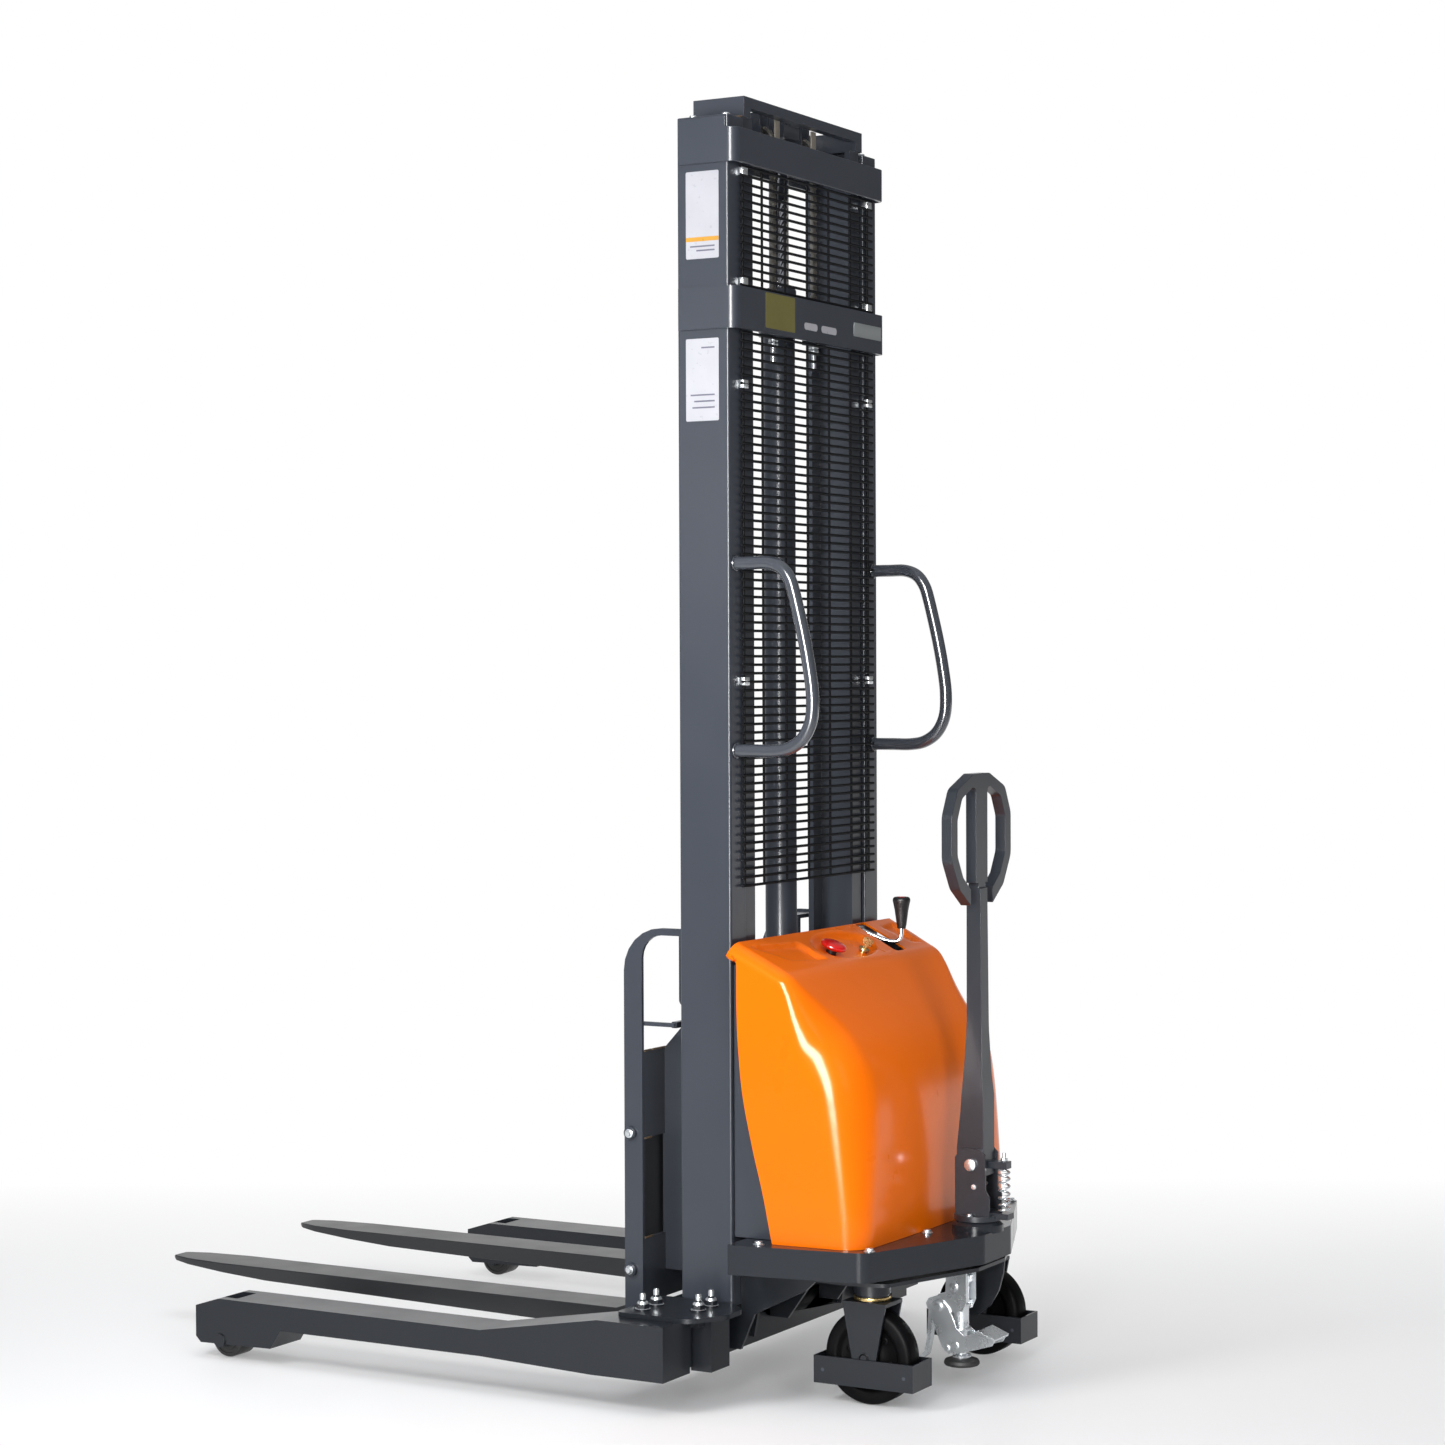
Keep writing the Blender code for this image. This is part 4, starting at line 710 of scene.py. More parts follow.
LABEL_FACE = MAST_HALF - 0.0002
LABELS = (("upper", (0.021, 0.093), (2.166, 2.332)), ("lower", (0.022, 0.094), (1.857, 2.014)))
LABEL_LINES = (
    (0.03, 0.084, 2.188), (0.03, 0.07, 2.18), (0.031, 0.06, 1.995), (0.031, 0.084, 1.905),
    (0.031, 0.076, 1.893), (0.031, 0.08, 1.881),
)
BRACE_PLATES = (
    ("olive_plate", (0.08, 0.199), (2.041, 2.109), OLIVE, 0.002),
    ("data_plate", (-0.294, -0.172), (2.058, 2.086), PLATE, 0.002),
    ("oval_tag_left", (-0.014, 0.041), (2.052, 2.066), LABEL, 0.0065),
    ("oval_tag_right", (-0.096, -0.031), (2.052, 2.066), LABEL, 0.0065),
)


def sticker(name, x, z, y, material, radius=0.0003, thick=0.0002):
    """A flat label with round corners on the mast's left face."""
    outline = round_rectangle([MAST_REAR + value for value in x], z, radius)
    piece(name, prism(outline, "Y", y, y + thick), material, "chassis")


def build_labels():
    """Blank labels with plain strokes, and the plates on the middle brace."""
    for name, x, z in LABELS:
        sticker(f"blank_label_{name}", x, z, LABEL_FACE, LABEL, 0.003, 0.0005)
    print_face = LABEL_FACE + 0.0005
    sticker("label_band", (0.0212, 0.0928), (2.199, 2.2072), print_face, LABEL_BAND)
    for k, (start, end, z) in enumerate(LABEL_LINES):
        sticker(f"label_line_{k}", (start, end), (z, z + 0.003), print_face, PRINT)
    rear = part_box("middle_brace")[0].x
    for name, y, z, material, radius in BRACE_PLATES:
        shape = prism(round_rectangle(y, z, radius), "X", rear - 0.0003, rear + 0.0007)
        piece(name, shape, material, "chassis")


def build_mast_trim():
    """The crosshead's fittings, and the mast's bolts and welds."""
    guards = [block(mast(0.0205, y - 0.01, 2.4195), mast(0.0235, y + 0.01, 2.46), 0.0008)
              for y in (0.076, -0.076)]
    piece("sheave_guards", guards, BEIGE, "mast_stage")
    bolts = [bolt(mast(x, side * (MAST_HALF - 0.028), 2.4372), UP, 0.013, 0.006, 0.0012)
             for side, _ in SIDES for x in (0.02, 0.092)]
    piece("mast_top_bolts", bolts, ZINC, "chassis")
    bolts = [bolt(mast(0.0045, y, 2.4685), -AHEAD, 0.009, 0.003, 0.001) for y in (0.03, -0.03)]
    piece("crosshead_bolts", bolts, ZINC, "mast_stage")
    beads = [bead(mast(0.004, side * 0.2479, 2.4415), mast(0.108, side * 0.2479, 2.4415), 0.0022, 5 + side)
             for side, _ in SIDES]
    piece("crosshead_welds", beads, WELD, "mast_stage")
    beads = []
    for side, _ in SIDES:
        y = side * 0.25
        beads.append(bead(mast(0.001, y, 0.1685), mast(0.112, y, 0.1685), 0.0028, 9 + side))
        start = mast(0.1145, side * 0.253, 0.169)
        beads.append(bead(start, mast(0.1145, side * 0.3095, 0.169), 0.0028, 3 + side))
    piece("mast_foot_welds", beads, WELD, "chassis")


# ---------------- hood

# Both curves are (distance behind the mast, height): down the middle, and along the front edge.
HOOD_PROFILE = (
    (0.292, 0.3005), (0.2922, 0.4), (0.292, 0.5), (0.288, 0.565), (0.277, 0.622), (0.2525, 0.672),
    (0.2185, 0.714), (0.1835, 0.751), (0.1545, 0.783), (0.1385, 0.8005), (0.1255, 0.8105), (0.109, 0.819),
    (0.07, 0.84), (0.0205, 0.8655),
)
HOOD_FRONT = (
    (0.102, 0.3005), (0.084, 0.39), (0.062, 0.48), (0.0415, 0.58), (0.032, 0.68), (0.0295, 0.76),
    (0.0295, 0.815), (0.028, 0.831), (0.0205, 0.846),
)
HOOD_HALF = 0.338
HOOD_TAPER = 0.16
HOOD_BULGE = 0.0045
HOOD_WALL = 0.004
CORNER_FOOT = 0.05
CORNER_WAIST = 0.086
CORNER_TOP = 0.026
PANEL_EDGE = 0.79
COLUMNS = 96
WALL_STEPS = 18
PANEL_SLOPE = Matrix.Rotation(math.radians(-28.1), 4, "Y")
HEAD_SLOPE = Matrix.Rotation(math.radians(-21), 4, "Y")
POCKETS = (
    (((0.036, 0.304), (0.046, 0.128), (0.108, 0.118), (0.094, 0.236)), 0.0085),
    (((0.034, -0.304), (0.042, -0.236), (0.1, -0.262), (0.106, -0.296)), 0.007),
)
DISH = ((0.074, -0.016), (0.041, 0.118), 0.013)
LEVER_SLOT = mast(-0.07, -0.183, 0.8395)
ESTOP_SPOT = mast(-0.073, 0.037, 0.828)
KEY_SPOT = mast(-0.085, -0.078, 0.821)


def ease(value):
    value = max(0, min(1, value))
    return value * value * (3 - 2 * value)


def inside_by(point, polygon):
    """How far a point lies inside a convex polygon, or outside it as a negative number."""
    sides = list(zip(polygon, polygon[1:] + polygon[:1]))
    turn = math.copysign(1, sum(a[0] * b[1] - b[0] * a[1] for a, b in sides))
    nearest = []
    for a, b in sides:
        edge = Vector(b) - Vector(a)
        offset = Vector(point) - Vector(a)
        nearest.append(turn * (edge.x * offset.y - edge.y * offset.x) / edge.length)
    return min(nearest)


def hood_sink(depth, y):
    """How far the top panel is pressed in at a place."""
    sink = max(deep * ease(inside_by((depth, y), polygon) / 0.008) for polygon, deep in POCKETS)
    centre, reach, deep = DISH
    far = math.hypot((depth - centre[0]) / reach[0], (y - centre[1]) / reach[1])
    return max(sink, deep * ease((1.06 - far) / 0.3))


def hood_curve(points):
    """A smooth curve as places (x, z) measured from the mast's rear face."""
    return [Vector((-p.x, p.y)) for p in smooth_path([(x, z, 0) for x, z in points], 14)]


def hood_corner(flat, radius, inset):
    """The rounded rear corner at one height, as (y, how far it turns forward)."""
    arc = []
    for k in range(1, 13):
        angle = math.radians(7.5 * k)
        arc.append((flat + radius * math.sin(angle), inset + radius * (1 - math.cos(angle))))
    return arc


def hood_row(spot, normal):
    """One row of the hood's back, from the right corner to the left one."""
    top = ease((spot.y - 0.7) / 0.11)
    waist = ease((spot.y - 0.3) / 0.28)
    radius = (CORNER_FOOT * (1 - waist) + CORNER_WAIST * waist) * (1 - top) + CORNER_TOP * top
    flat = HOOD_HALF - radius
    bulge = HOOD_BULGE * (1 - top)
    arc = hood_corner(flat, radius, bulge)
    stations = [(-y, inset) for y, inset in arc[::-1]]
    for k in range(COLUMNS + 1):
        y = flat * (2 * k / COLUMNS - 1)
        stations.append((y, bulge * (y / flat) ** 2))
    row = []
    for y, inset in stations + arc:
        sink = hood_sink(-spot.x, y) if spot.y > PANEL_EDGE else 0
        at = spot + normal * (inset + sink)
        row.append([at.x, y, at.y])
    return row


def hood_rows():
    """The hood's skin as rows that climb it, each from its right front edge to its left one."""
    profile, front = hood_curve(HOOD_PROFILE), hood_curve(HOOD_FRONT)
    lengths = [0]
    for a, b in zip(front, front[1:]):
        lengths.append(lengths[-1] + (b - a).length)
    last = len(profile) - 1
    rows = []
    for i, spot in enumerate(profile):
        along = (profile[min(i + 1, last)] - profile[max(i - 1, 0)]).normalized()
        row = hood_row(spot, Vector((along.y, -along.x)) if i else Vector((1, 0)))
        goal = lengths[-1] * (i / last)
        j = min(max(k for k, length in enumerate(lengths) if length <= goal + 1e-9), len(front) - 2)
        edge = front[j].lerp(front[j + 1], min((goal - lengths[j]) / (lengths[j + 1] - lengths[j]), 1))
        walls = []
        for x, y, z in (row[0], row[-1]):
            shares = [k / WALL_STEPS for k in range(1, WALL_STEPS + 1)]
            walls.append([[x + (edge.x - x) * share, y, z + (min(edge.y, z) - z) * share]
                          for share in shares])
        rows.append(walls[0][::-1] + row + walls[1])
    for row in rows:
        for point in row:
            point[1] *= 1 + HOOD_TAPER * (point[0] + 0.15)
            point[0] += MAST_REAR
    return rows


def hood_openings():
    """What is cut out of the hood for the lever, the stop button and the key."""
    slot = prism(round_rectangle((-0.054, 0.054), (-0.024, 0.024), 0.01), "Z", -0.035, 0.03)
    cutters = [placed(slot, Matrix.Translation(LEVER_SLOT) @ PANEL_SLOPE)]
    for spot, radius in ((ESTOP_SPOT, 0.0122), (KEY_SPOT, 0.0082)):
        hole = ((0, -0.03), (radius, -0.03), (radius, 0.03), (0, 0.03))
        cutters.append(lathe(hole, spot, PANEL_SLOPE @ UP, 48))
    return thing("hood_cutter", cutters, HOOD)


def build_hood():
    """A moulded shell with a wall, and openings for the controls."""
    bm = grid_of(hood_rows())
    bmesh.ops.remove_doubles(bm, verts=bm.verts, dist=1e-5)
    outward(bm)
    if sum(face.normal.x for face in bm.faces) > 0:
        bmesh.ops.reverse_faces(bm, faces=bm.faces)
    obj = thing("hood_shell", bm, HOOD)
    modify(obj, "wall", "SOLIDIFY", thickness=HOOD_WALL, offset=-1)
    cutter = hood_openings()
    modify(obj, "openings", "BOOLEAN", object=cutter, solver="EXACT")
    bpy.context.view_layer.update()
    mesh = bpy.data.meshes.new_from_object(obj.evaluated_get(bpy.context.evaluated_depsgraph_get()))
    obj.modifiers.clear()
    obj.data = mesh
    bpy.data.objects.remove(cutter)
    mesh.shade_smooth()
    mesh.set_sharp_from_angle(angle=math.radians(42))
    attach(obj, "chassis")
    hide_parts("hood_cover")


LEVER_PIVOT = mast(-0.03, -0.168, 0.855)


def build_controls():
    """The stop button with its collar, the key in its barrel, and the lift lever with its knob."""
    up = PANEL_SLOPE @ UP
    cap = mm(
        (0, 4), (15, 4), (18, 5.4), (22.8, 6.6), (25.4, 8.6), (26.2, 11.2),
        (25.8, 14), (24, 16.4), (20, 18.5), (14, 20), (7, 20.8), (0, 21),
    )
    stem = mm((0, -20), (10, -20), (10.5, -19), (10.5, 9), (0, 9))
    collar = mm((12.2, -12.5), (19, -12.5), (19, -8.5), (17.8, -7), (12.8, -7),
              (12.2, -8), (12.2, -12.5))
    piece("estop_head", lathe(cap, ESTOP_SPOT, HEAD_SLOPE @ UP), RED, "estop_button", ["estop_button"])
    piece("estop_stem", lathe(stem, ESTOP_SPOT, up, 48), PLASTIC, "estop_button")
    piece("estop_collar", lathe(collar, ESTOP_SPOT, up, 64), PLASTIC, "chassis")
    barrel = mm((0, -16), (7.5, -16), (7.5, 0.5), (11.2, 1), (11.8, 2.2),
              (10.8, 4.6), (9.5, 5), (8.8, 4.2), (0, 4.2))
    bow = rounded(((-0.011, 0.012, 0.004), (0.011, 0.012, 0.004), (0.011, 0.028, 0.007),
                   (-0.011, 0.028, 0.007)))
    shank = ((-0.0035, 0.003), (0.0035, 0.003), (0.0035, 0.014), (-0.0035, 0.014))
    on_panel = Matrix.Translation(KEY_SPOT) @ PANEL_SLOPE
    shapes = [
        lathe(barrel, KEY_SPOT, up, 48),
        placed(prism(bow, "Y", -0.0012, 0.0012, 0.0004, 1), on_panel),
        placed(prism(shank, "Y", -0.0011, 0.0011), on_panel),
    ]
    piece("key_and_barrel", shapes, BRASS, "key_switch", ["key_switch"])
    link = smooth_path([LEVER_PIVOT, mast(-0.06, -0.178, 0.841), mast(-0.09, -0.1895, 0.8305),
                        mast(-0.104, -0.196, 0.8325), mast(-0.1085, -0.1995, 0.844),
                        mast(-0.109, -0.2, 0.8562)])
    eye = mirrored(0.008, ((0, 0), (6.2, 0), (7, 1)), closed=False)
    shapes = [tube(link, 0.0042, 24), lathe(eye, LEVER_PIVOT, ACROSS, 40)]
    piece("lift_lever_bar", shapes, CHROME, "lift_lever", ["lift_lever"])
    foot = mast(-0.109, -0.2, 0)
    knob = mm(
        (0, 856.3), (7.8, 856.3), (8.6, 857.2), (9, 860), (10.3, 866), (11.8, 878),
        (14, 894), (16.6, 907), (17.8, 912), (17.9, 915), (16.8, 918.5), (14, 920.5),
        (11, 920.5), (9.5, 919), (0, 918.8),
    )
    piece("lift_knob_grip", lathe(knob, foot, UP, 64), PLASTIC, "lift_lever", ["lift_lever_knob"])
    cap = mm((0, 918.7), (9.4, 918.7), (9.4, 920), (8.5, 921.5), (0, 921.9))
    piece("lift_knob_cap", lathe(cap, foot, UP, 48), RED, "lift_lever")


# ---------------- wheels

CASTER_AXLE_Z = 0.09
LOAD_AXLE_Z = 0.038


def build_caster_wheel(word):
    """A nylon tyre with a web, and the rings and caps on both of its faces."""
    node = f"caster_wheel_{word}"
    centre = middle(node)
    centre.z = CASTER_AXLE_Z
    tread = mirrored(0, (
        (10.6, -23.5), (20, -23.8), (21.8, -22.5), (22.8, -15), (30, -13.5),
        (34, -12.5), (56, -12.5), (60, -14.5), (64, -20.5), (66.5, -22.5),
        (70, -23.2), (80, -23), (85, -21.8), (88.5, -19), (89.7, -15),
    ), [(89.9, 0)])
    piece(node + "_tyre", lathe(tread, centre, ACROSS, 128), TYRE, node, [node])
    ring = mm((3, -0.4), (6.2, -0.4), (6.2, 0.8), (5.4, 1.4), (3.6, 1.4),
            (3, 0.6), (3, -0.4))
    cap = mm((12, 0), (17, 0), (17, 0.6), (16, 1), (12, 0.8))
    marks = []
    for flip in (1, -1):
        for k in range(6):
            angle = math.radians(60 * k + 15)
            spot = centre + Vector((0.045 * math.cos(angle), flip * 0.0126, 0.045 * math.sin(angle)))
            marks.append(lathe(ring, spot, ACROSS * flip, 24))
        marks.append(lathe(cap, centre + ACROSS * (flip * 0.0232), ACROSS * flip, 48))
    piece(f"caster_hub_{word}", marks, TYRE, node)


def build_load_wheel(word):
    node = f"load_wheel_{word}"
    low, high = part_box(node)
    centre = middle(node)
    centre.z = LOAD_AXLE_Z
    tread = mirrored((high.y - low.y) / 2, (
        (13.5, 1), (15, 0.3), (23, 0.3), (24, 2), (29, 2), (30, 0.6), (34.5, 0.6), (36.6, 2), (37.9, 5),
    ))
    piece(node + "_roller", lathe(tread, centre, ACROSS, 96), POLYURETHANE, node, [node])


def build_wheels():
    for _, word in SIDES:
        build_caster_wheel(word)
        build_load_wheel(word)


def build_caster_trim():
    """The swivel bearing, the axle's ends and the rivets of the foot guard."""
    race = mm((32.5, 196.5), (34.5, 197), (35.5, 200), (35, 203), (32.5, 204),
            (32.5, 196.5))
    recess = mm((0, -3), (9.4, -3), (9.4, 0), (8.6, 0.6), (7, 0.6),
              (6.2, -1.2), (0, -1.6))
    rivet = mm((0, -0.6), (3, -0.6), (3.6, -0.2), (0, 0))
    for _, word in SIDES:
        body = f"caster_fork_{word}"
        x, y, _ = middle(f"caster_wheel_{word}")
        piece(f"swivel_race_{word}", lathe(race, Vector((x, y, 0)), UP, 64), BRASS, body)
        ends = [lathe(recess, Vector((x, y + flip * 0.0386, CASTER_AXLE_Z)), ACROSS * flip, 40)
                for flip in (1, -1)]
        piece(f"axle_ends_{word}", ends, TYRE, body)
        rivets = [lathe(rivet, Vector((x + shift, y + flip * 0.0412, 0.062)), ACROSS * flip, 20)
                  for flip in (1, -1) for shift in (-0.085, 0.085)]
        piece(f"guard_rivets_{word}", rivets, STEEL, body)


# ---------------- base trim, tiller and brake

CLAMP_TOP = 0.1764
CLAMP_BOLTS = ((0.115, 0.452), (0.115, 0.402), (0.018, 0.41), (0.018, 0.362))
DECK_BOLTS = ((-0.296, 0.318), (-0.305, 0.09), (-0.08, 0.352))


def build_base_trim():
    for side, word in SIDES:
        bolts = [bolt(mast(x, side * y, CLAMP_TOP), UP, 0.0185, 0.013, 0.003, 0.015) for x, y in CLAMP_BOLTS]
        piece(f"clamp_bolts_{word}", bolts, ZINC, "chassis")
    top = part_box("platform_deck")[1].z - 0.0182
    bolts = [bolt(mast(x, side * y, top), UP, 0.013, 0.005, 0.0014)
             for x, y in DECK_BOLTS for side, _ in SIDES]
    piece("deck_bolts", bolts, ZINC, "chassis")


def build_tiller_trim():
    """The return spring, the pivot pin, the yoke's bolts and the spring's adjuster."""
    low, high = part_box("tiller_spring")
    centre = middle("tiller_spring")
    bottom, top = low.z + 0.0024, high.z - 0.0026
    turns, steps = 6, 28
    coil = []
    for k in range(turns * steps + 1):
        angle = 2 * math.pi * k / steps
        share = k / (turns * steps)
        level = ease(share) * 0.35 + share * 0.65
        z = bottom + (top - bottom) * level
        coil.append((centre.x + 0.01 * math.cos(angle), 0.01 * math.sin(angle), z))
    spring = piece("tiller_spring_coil", tube(coil, 0.0022, 14), ZINC, "steering_head", ["tiller_spring"])
    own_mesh(spring)
    low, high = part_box("tiller_pin")
    pivot = middle("tiller_pin")
    pin = mirrored((high.y - low.y) / 2, (
        (0, 0), (9.5, 0), (11.8, 1.6), (12, 5.8), (11.2, 6.8), (8, 7),
    ), closed=False)
    piece("tiller_pin_bolt", lathe(pin, pivot, ACROSS, 48), ZINC, "steering_head", ["tiller_pin"])
    rivet = mm((0, -10), (3.8, -10), (3.8, 0), (5.5, 0), (5, 2), (0, 2.6))
    shapes = [lathe(rivet, Vector((pivot.x - 0.006, flip * 0.0311, 0.385)), ACROSS * flip, 28)
              for flip in (1, -1)]
    shapes += [bolt(Vector((pivot.x, y, 0.3291)), UP, 0.0085, 0.0036, 0.001) for y in (0.038, -0.038)]
    piece("yoke_bolts", shapes, ZINC, "steering_head")
    foot = Vector((pivot.x - 0.056, 0, 0.4342))
    stud = mm((0, 0), (3.4, 0), (3.4, 15), (2.8, 16), (0, 16))
    shapes = [lathe(stud, foot, UP, 20), hexagon(foot, UP, 0.012, 0.006)]
    piece("spring_adjuster", shapes, ZINC, "tiller")


def side_bolts(x, y, z, *size):
    """A pair of bolts that stand out to the left and the right."""
    return [bolt(Vector((x, side * y, z)), ACROSS * side, *size) for side, _ in SIDES]


def build_brake_trim():
    """The brake's rod, foot pad, guide collars and bolts."""
    low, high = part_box("brake_ram")
    x = middle("brake_ram").x
    centre = Vector((x, 0, 0))
    rod = mm((0, 12), (18, 15.5), (18.4, 19), (17, 21), (11, 22.2), (10.8, 23.5), (11, 25), at=low.z)
    rod += mm((11, -1.5), (9.8, 0), (0, 0), at=high.z)
    piece("brake_ram_rod", lathe(rod, centre, UP, 64), ZINC, "brake_ram", ["brake_ram"])
    pad = mm((0, 0), (30, 0), (33, 1), (34.8, 3.8), (34.6, 7), (32.5, 11), (23, 14.2), (18.5, 15), (0, 15),
             at=low.z)
    piece("brake_foot_pad", lathe(pad, centre, UP), RUBBER, "brake_ram")
    collar = mm((14.7, 0), (17.2, 0), (17.8, 0.8), (17.8, 4.2), (17.2, 5), (14.7, 5),
              (14.7, 0))
    collars = [lathe(collar, Vector((x, 0, z)), UP, 48) for z in (0.1, 0.148)]
    piece("ram_collars", collars, ZINC, "chassis")
    bolts = side_bolts(x + 0.036, 0.03, 0.146, 0.0135, 0.0045, 0.001)
    bolts += side_bolts(x + 0.006, 0.0231, 0.186, 0.011, 0.0045, 0.001)
    piece("brake_bolts", bolts, ZINC, "chassis")
    bolts = side_bolts(x + 0.019, 0.0269, 0.067, 0.0085, 0.0035, 0.001)
    bolts += side_bolts(x, 0.0269, 0.074, 0.0085, 0.0035, 0.001)
    piece("pedal_bolts", bolts, ZINC, "brake_pedal")


WELD_X = 0.215
CROSS_PLATE_TOPS = (0.2756, 0.6406, 0.4698)


def build_carriage_trim():
    """The fork bars with their end bolts, the carriage's welds and the hoop's uprights."""
    for level in ("lower", "upper"):
        node = f"fork_bar_{level}"
        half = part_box(node)[1].y
        bar = mirrored(half, (
            (0, 0), (9.8, 0), (12.6, 2.2), (13, 4), (13, 8.8), (9, 9),
        ), closed=False)
        piece(node + "_rod", lathe(bar, middle(node), ACROSS, 48), STEEL, "carriage", [node])
        x, _, z = middle(node)
        piece(node + "_bolts", side_bolts(x, half - 0.0005, z, 0.0105, 0.0045, 0.001), ZINC, "carriage")
    beads = []
    for side, _ in SIDES:
        for z in CROSS_PLATE_TOPS:
            start, end = mast(WELD_X, side * 0.2752, z), mast(WELD_X, side * 0.25, z)
            beads.append(bead(start, end, 0.0024, int(z * 1000) + side))
        start, end = mast(WELD_X, side * 0.1975, 0.6408), mast(WELD_X, side * 0.244, 0.6408)
        beads.append(bead(start, end, 0.002, 77 + side))
    piece("carriage_welds", beads, WELD, "carriage")
    outline = rounded(((0.1602, 0.702, 0), (0.1835, 0.73, 0.012), (0.1835, 0.8665, 0),
                       (0.1602, 0.8665, 0)), 4)
    outline = [(MAST_REAR + x, z) for x, z in outline]
    for side, word in SIDES:
        faces = sorted((side * 0.1865, side * 0.1955))
        piece(f"hoop_upright_{word}", prism(outline, "Y", *faces, 0.0008), STEEL, "carriage")


HOSE_ROUTE = (
    (0.0035, 0.1715), (-0.006, 0.1735), (-0.0125, 0.181), (-0.0148, 0.195), (-0.0155, 0.3), (-0.0155, 0.56),
    (-0.018, 0.59), (-0.028, 0.61), (-0.045, 0.6185), (-0.1035, 0.62),
)


def build_hose():
    """The pressure hose from the cylinder's foot to the valve block, and its crimped cuff."""
    route = smooth_path([mast(x, 0, z) for x, z in HOSE_ROUTE])
    piece("pressure_hose", tube(route, 0.0062, 24), HOSE, "chassis", ["hydraulic_hose"])
    cuff = mm((6.3, 0), (8.2, 0.4), (8.6, 2), (8.6, 10), (8, 12), (8.6, 14),
            (8.6, 22), (6.3, 23.5))
    piece("hose_fittings", lathe(cuff, mast(-0.08, 0, 0.62), -AHEAD, 40), ZINC, "chassis")


# ---------------- studio

CAMERA_PLACE = (-3.419, 5.51, 1.381)
CAMERA_YAW = math.radians(29.53)
CAMERA_DIP = math.radians(0.95)
CAMERA_ROLL = math.radians(-0.23)
CAMERA_LENS = 78.2
LOOKING = (math.sin(CAMERA_YAW), -math.cos(CAMERA_YAW), 0)
ROOM_DARK = (0.11, 0.103, 0.095)
ROOM_LIGHT = (0.3, 0.32, 0.36)
ROOM_TOP = (0.42, 0.43, 0.45)
SOFTBOXES = (
    ("key", (-1.75, 5.1, 1.75), (-0.6, 0.2, 0.8), (0.95, 3.4), 120, True),
    ("side", (0.4, 2.1, 1.95), (-0.45, 0.2, 1.65), (0.7, 0.9), 40, False),
    ("far", (3.2, 5, 2), (-0.3, 0.2, 1.2), (1.6, 2.2), 25, False),
    ("rear", (-4.2, 2.9, 2.2), (-0.7, 0, 0.8), (1.2, 2.2), 56, False),
    ("top", (-0.6, 0.6, 5.2), (-0.4, 0, 0.5), (3, 3), 85, False),
    ("highlight", (-1.75, 5.2, 2.1), (-0.6, 0.2, 0.9), (1.6, 3.7), 680, True),
)


def build_camera():
    ahead = Vector((math.sin(CAMERA_YAW) * math.cos(CAMERA_DIP), -math.cos(CAMERA_YAW) * math.cos(CAMERA_DIP),
                    -math.sin(CAMERA_DIP)))
    level = Vector((-math.cos(CAMERA_YAW), -math.sin(CAMERA_YAW), 0))
    right = level * math.cos(CAMERA_ROLL) + level.cross(ahead) * math.sin(CAMERA_ROLL)
    turn = Matrix((right, right.cross(ahead), -ahead)).transposed().to_4x4()
    data = bpy.data.cameras.new("camera")
    data.lens = CAMERA_LENS
    data.clip_end = 200
    camera = bpy.data.objects.new("camera", data)
    camera.matrix_world = Matrix.Translation(CAMERA_PLACE) @ turn
    bpy.context.scene.collection.objects.link(camera)
    bpy.context.scene.camera = camera


def softbox(name, place, aim, size, power, seen):
    """A rectangular light. Only one that is seen shows up in glossy surfaces."""
    data = bpy.data.lights.new(name, "AREA")
    data.shape = "RECTANGLE"
    data.size, data.size_y = size
    data.energy = power
    light = bpy.data.objects.new(name, data)
    light.location = place
    light.rotation_mode = "QUATERNION"
    light.rotation_quaternion = (Vector(aim) - Vector(place)).to_track_quat("-Z", "Y")
    light.visible_glossy = seen
    bpy.context.scene.collection.objects.link(light)
    return light


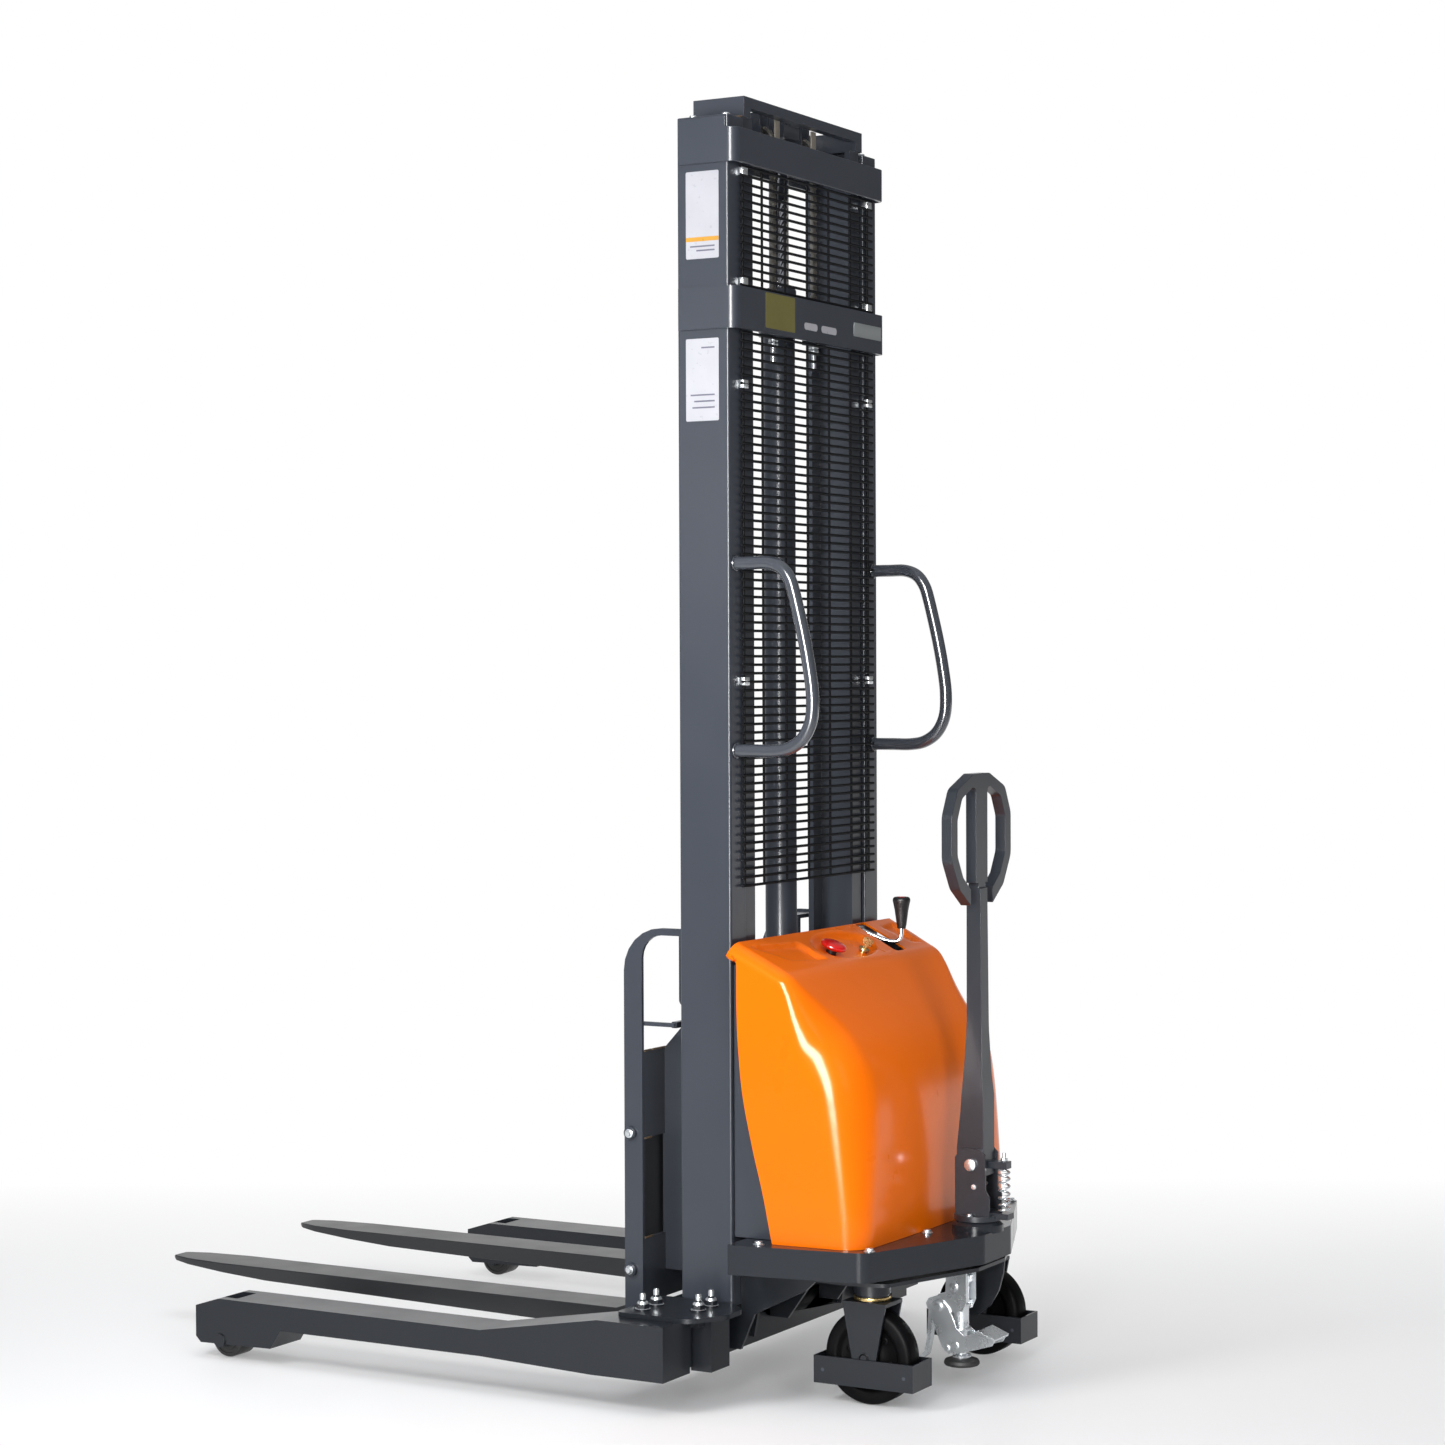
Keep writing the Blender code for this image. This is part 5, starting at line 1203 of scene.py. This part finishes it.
def build_world():
    """White where the main camera looks, a dimmer room that is brighter on the left elsewhere."""
    world = bpy.data.worlds.new("studio")
    world.use_nodes = True
    tree = world.node_tree
    towards = node_of(tree, "TexCoord", "Generated", {})
    room = mixed(tree, facing(tree, towards, (0.35, 0.94, 0), -0.8, 1), ROOM_DARK, ROOM_LIGHT)
    room = mixed(tree, facing(tree, towards, (0, 0, 1), 0.25, 0.95), room, ROOM_TOP)
    shade = mixed(tree, facing(tree, towards, LOOKING, 0.87, 0.94), room, (1, 1, 1))
    connect(tree, tree.nodes["Background"], {"Color": shade, "Strength": 1})
    bpy.context.scene.world = world


def floor_material():
    """Pale matt floor that glows plain white behind the machine as a painted glow, and is painted a little
    darker in front of it as painted shade on the machine's lower parts.
    """
    material = finish_of("pale_floor", (0.88, 0.88, 0.88), (0.86, 0.86, 0.865), (0.45, 0.6), 0.8, 60)
    tree = material.node_tree
    shader = tree.nodes["Principled BSDF"]
    place = node_of(tree, "TexCoord", "Object", {})
    pale = shader.inputs["Base Color"].links[0].from_socket
    # Painted shade: the floor turns a darker grey in front of the machine.
    near = facing(tree, place, LOOKING, -1.1, -2.6)
    connect(tree, shader, {"Base Color": mixed(tree, near, pale, (0.55, 0.55, 0.56))})
    # Painted glow: the floor gives off plain white light behind the machine.
    painted_glow = node_of(tree, "Emission", "Emission", {})
    behind = facing(tree, place, LOOKING, -1, 2)
    surface = node_of(tree, "MixShader", "Shader", {"Fac": behind, 1: shader.outputs["BSDF"], 2: painted_glow})
    connect(tree, tree.nodes["Material Output"], {"Surface": surface})
    return material


def build_studio():
    """The floor, the room and the lights. The tall highlight panel shows up in glossy surfaces alone."""
    floor_shape = bmesh.new()
    bmesh.ops.create_grid(floor_shape, x_segments=1, y_segments=1, size=30)
    floor = thing("floor", floor_shape, floor_material())
    floor.location.z = -0.0005
    build_world()
    lights = [softbox(*settings) for settings in SOFTBOXES]
    lights[-1].visible_diffuse = False
    bpy.context.scene.view_settings.view_transform = "Standard"
    bpy.context.scene.view_settings.look = "None"


refine_nodes()
build_guards()
build_handles()
build_cylinder()
build_chains()
build_rollers()
build_labels()
build_mast_trim()
build_hood()
build_controls()
build_wheels()
build_caster_trim()
build_base_trim()
build_tiller_trim()
build_brake_trim()
build_carriage_trim()
build_hose()
build_camera()
build_studio()
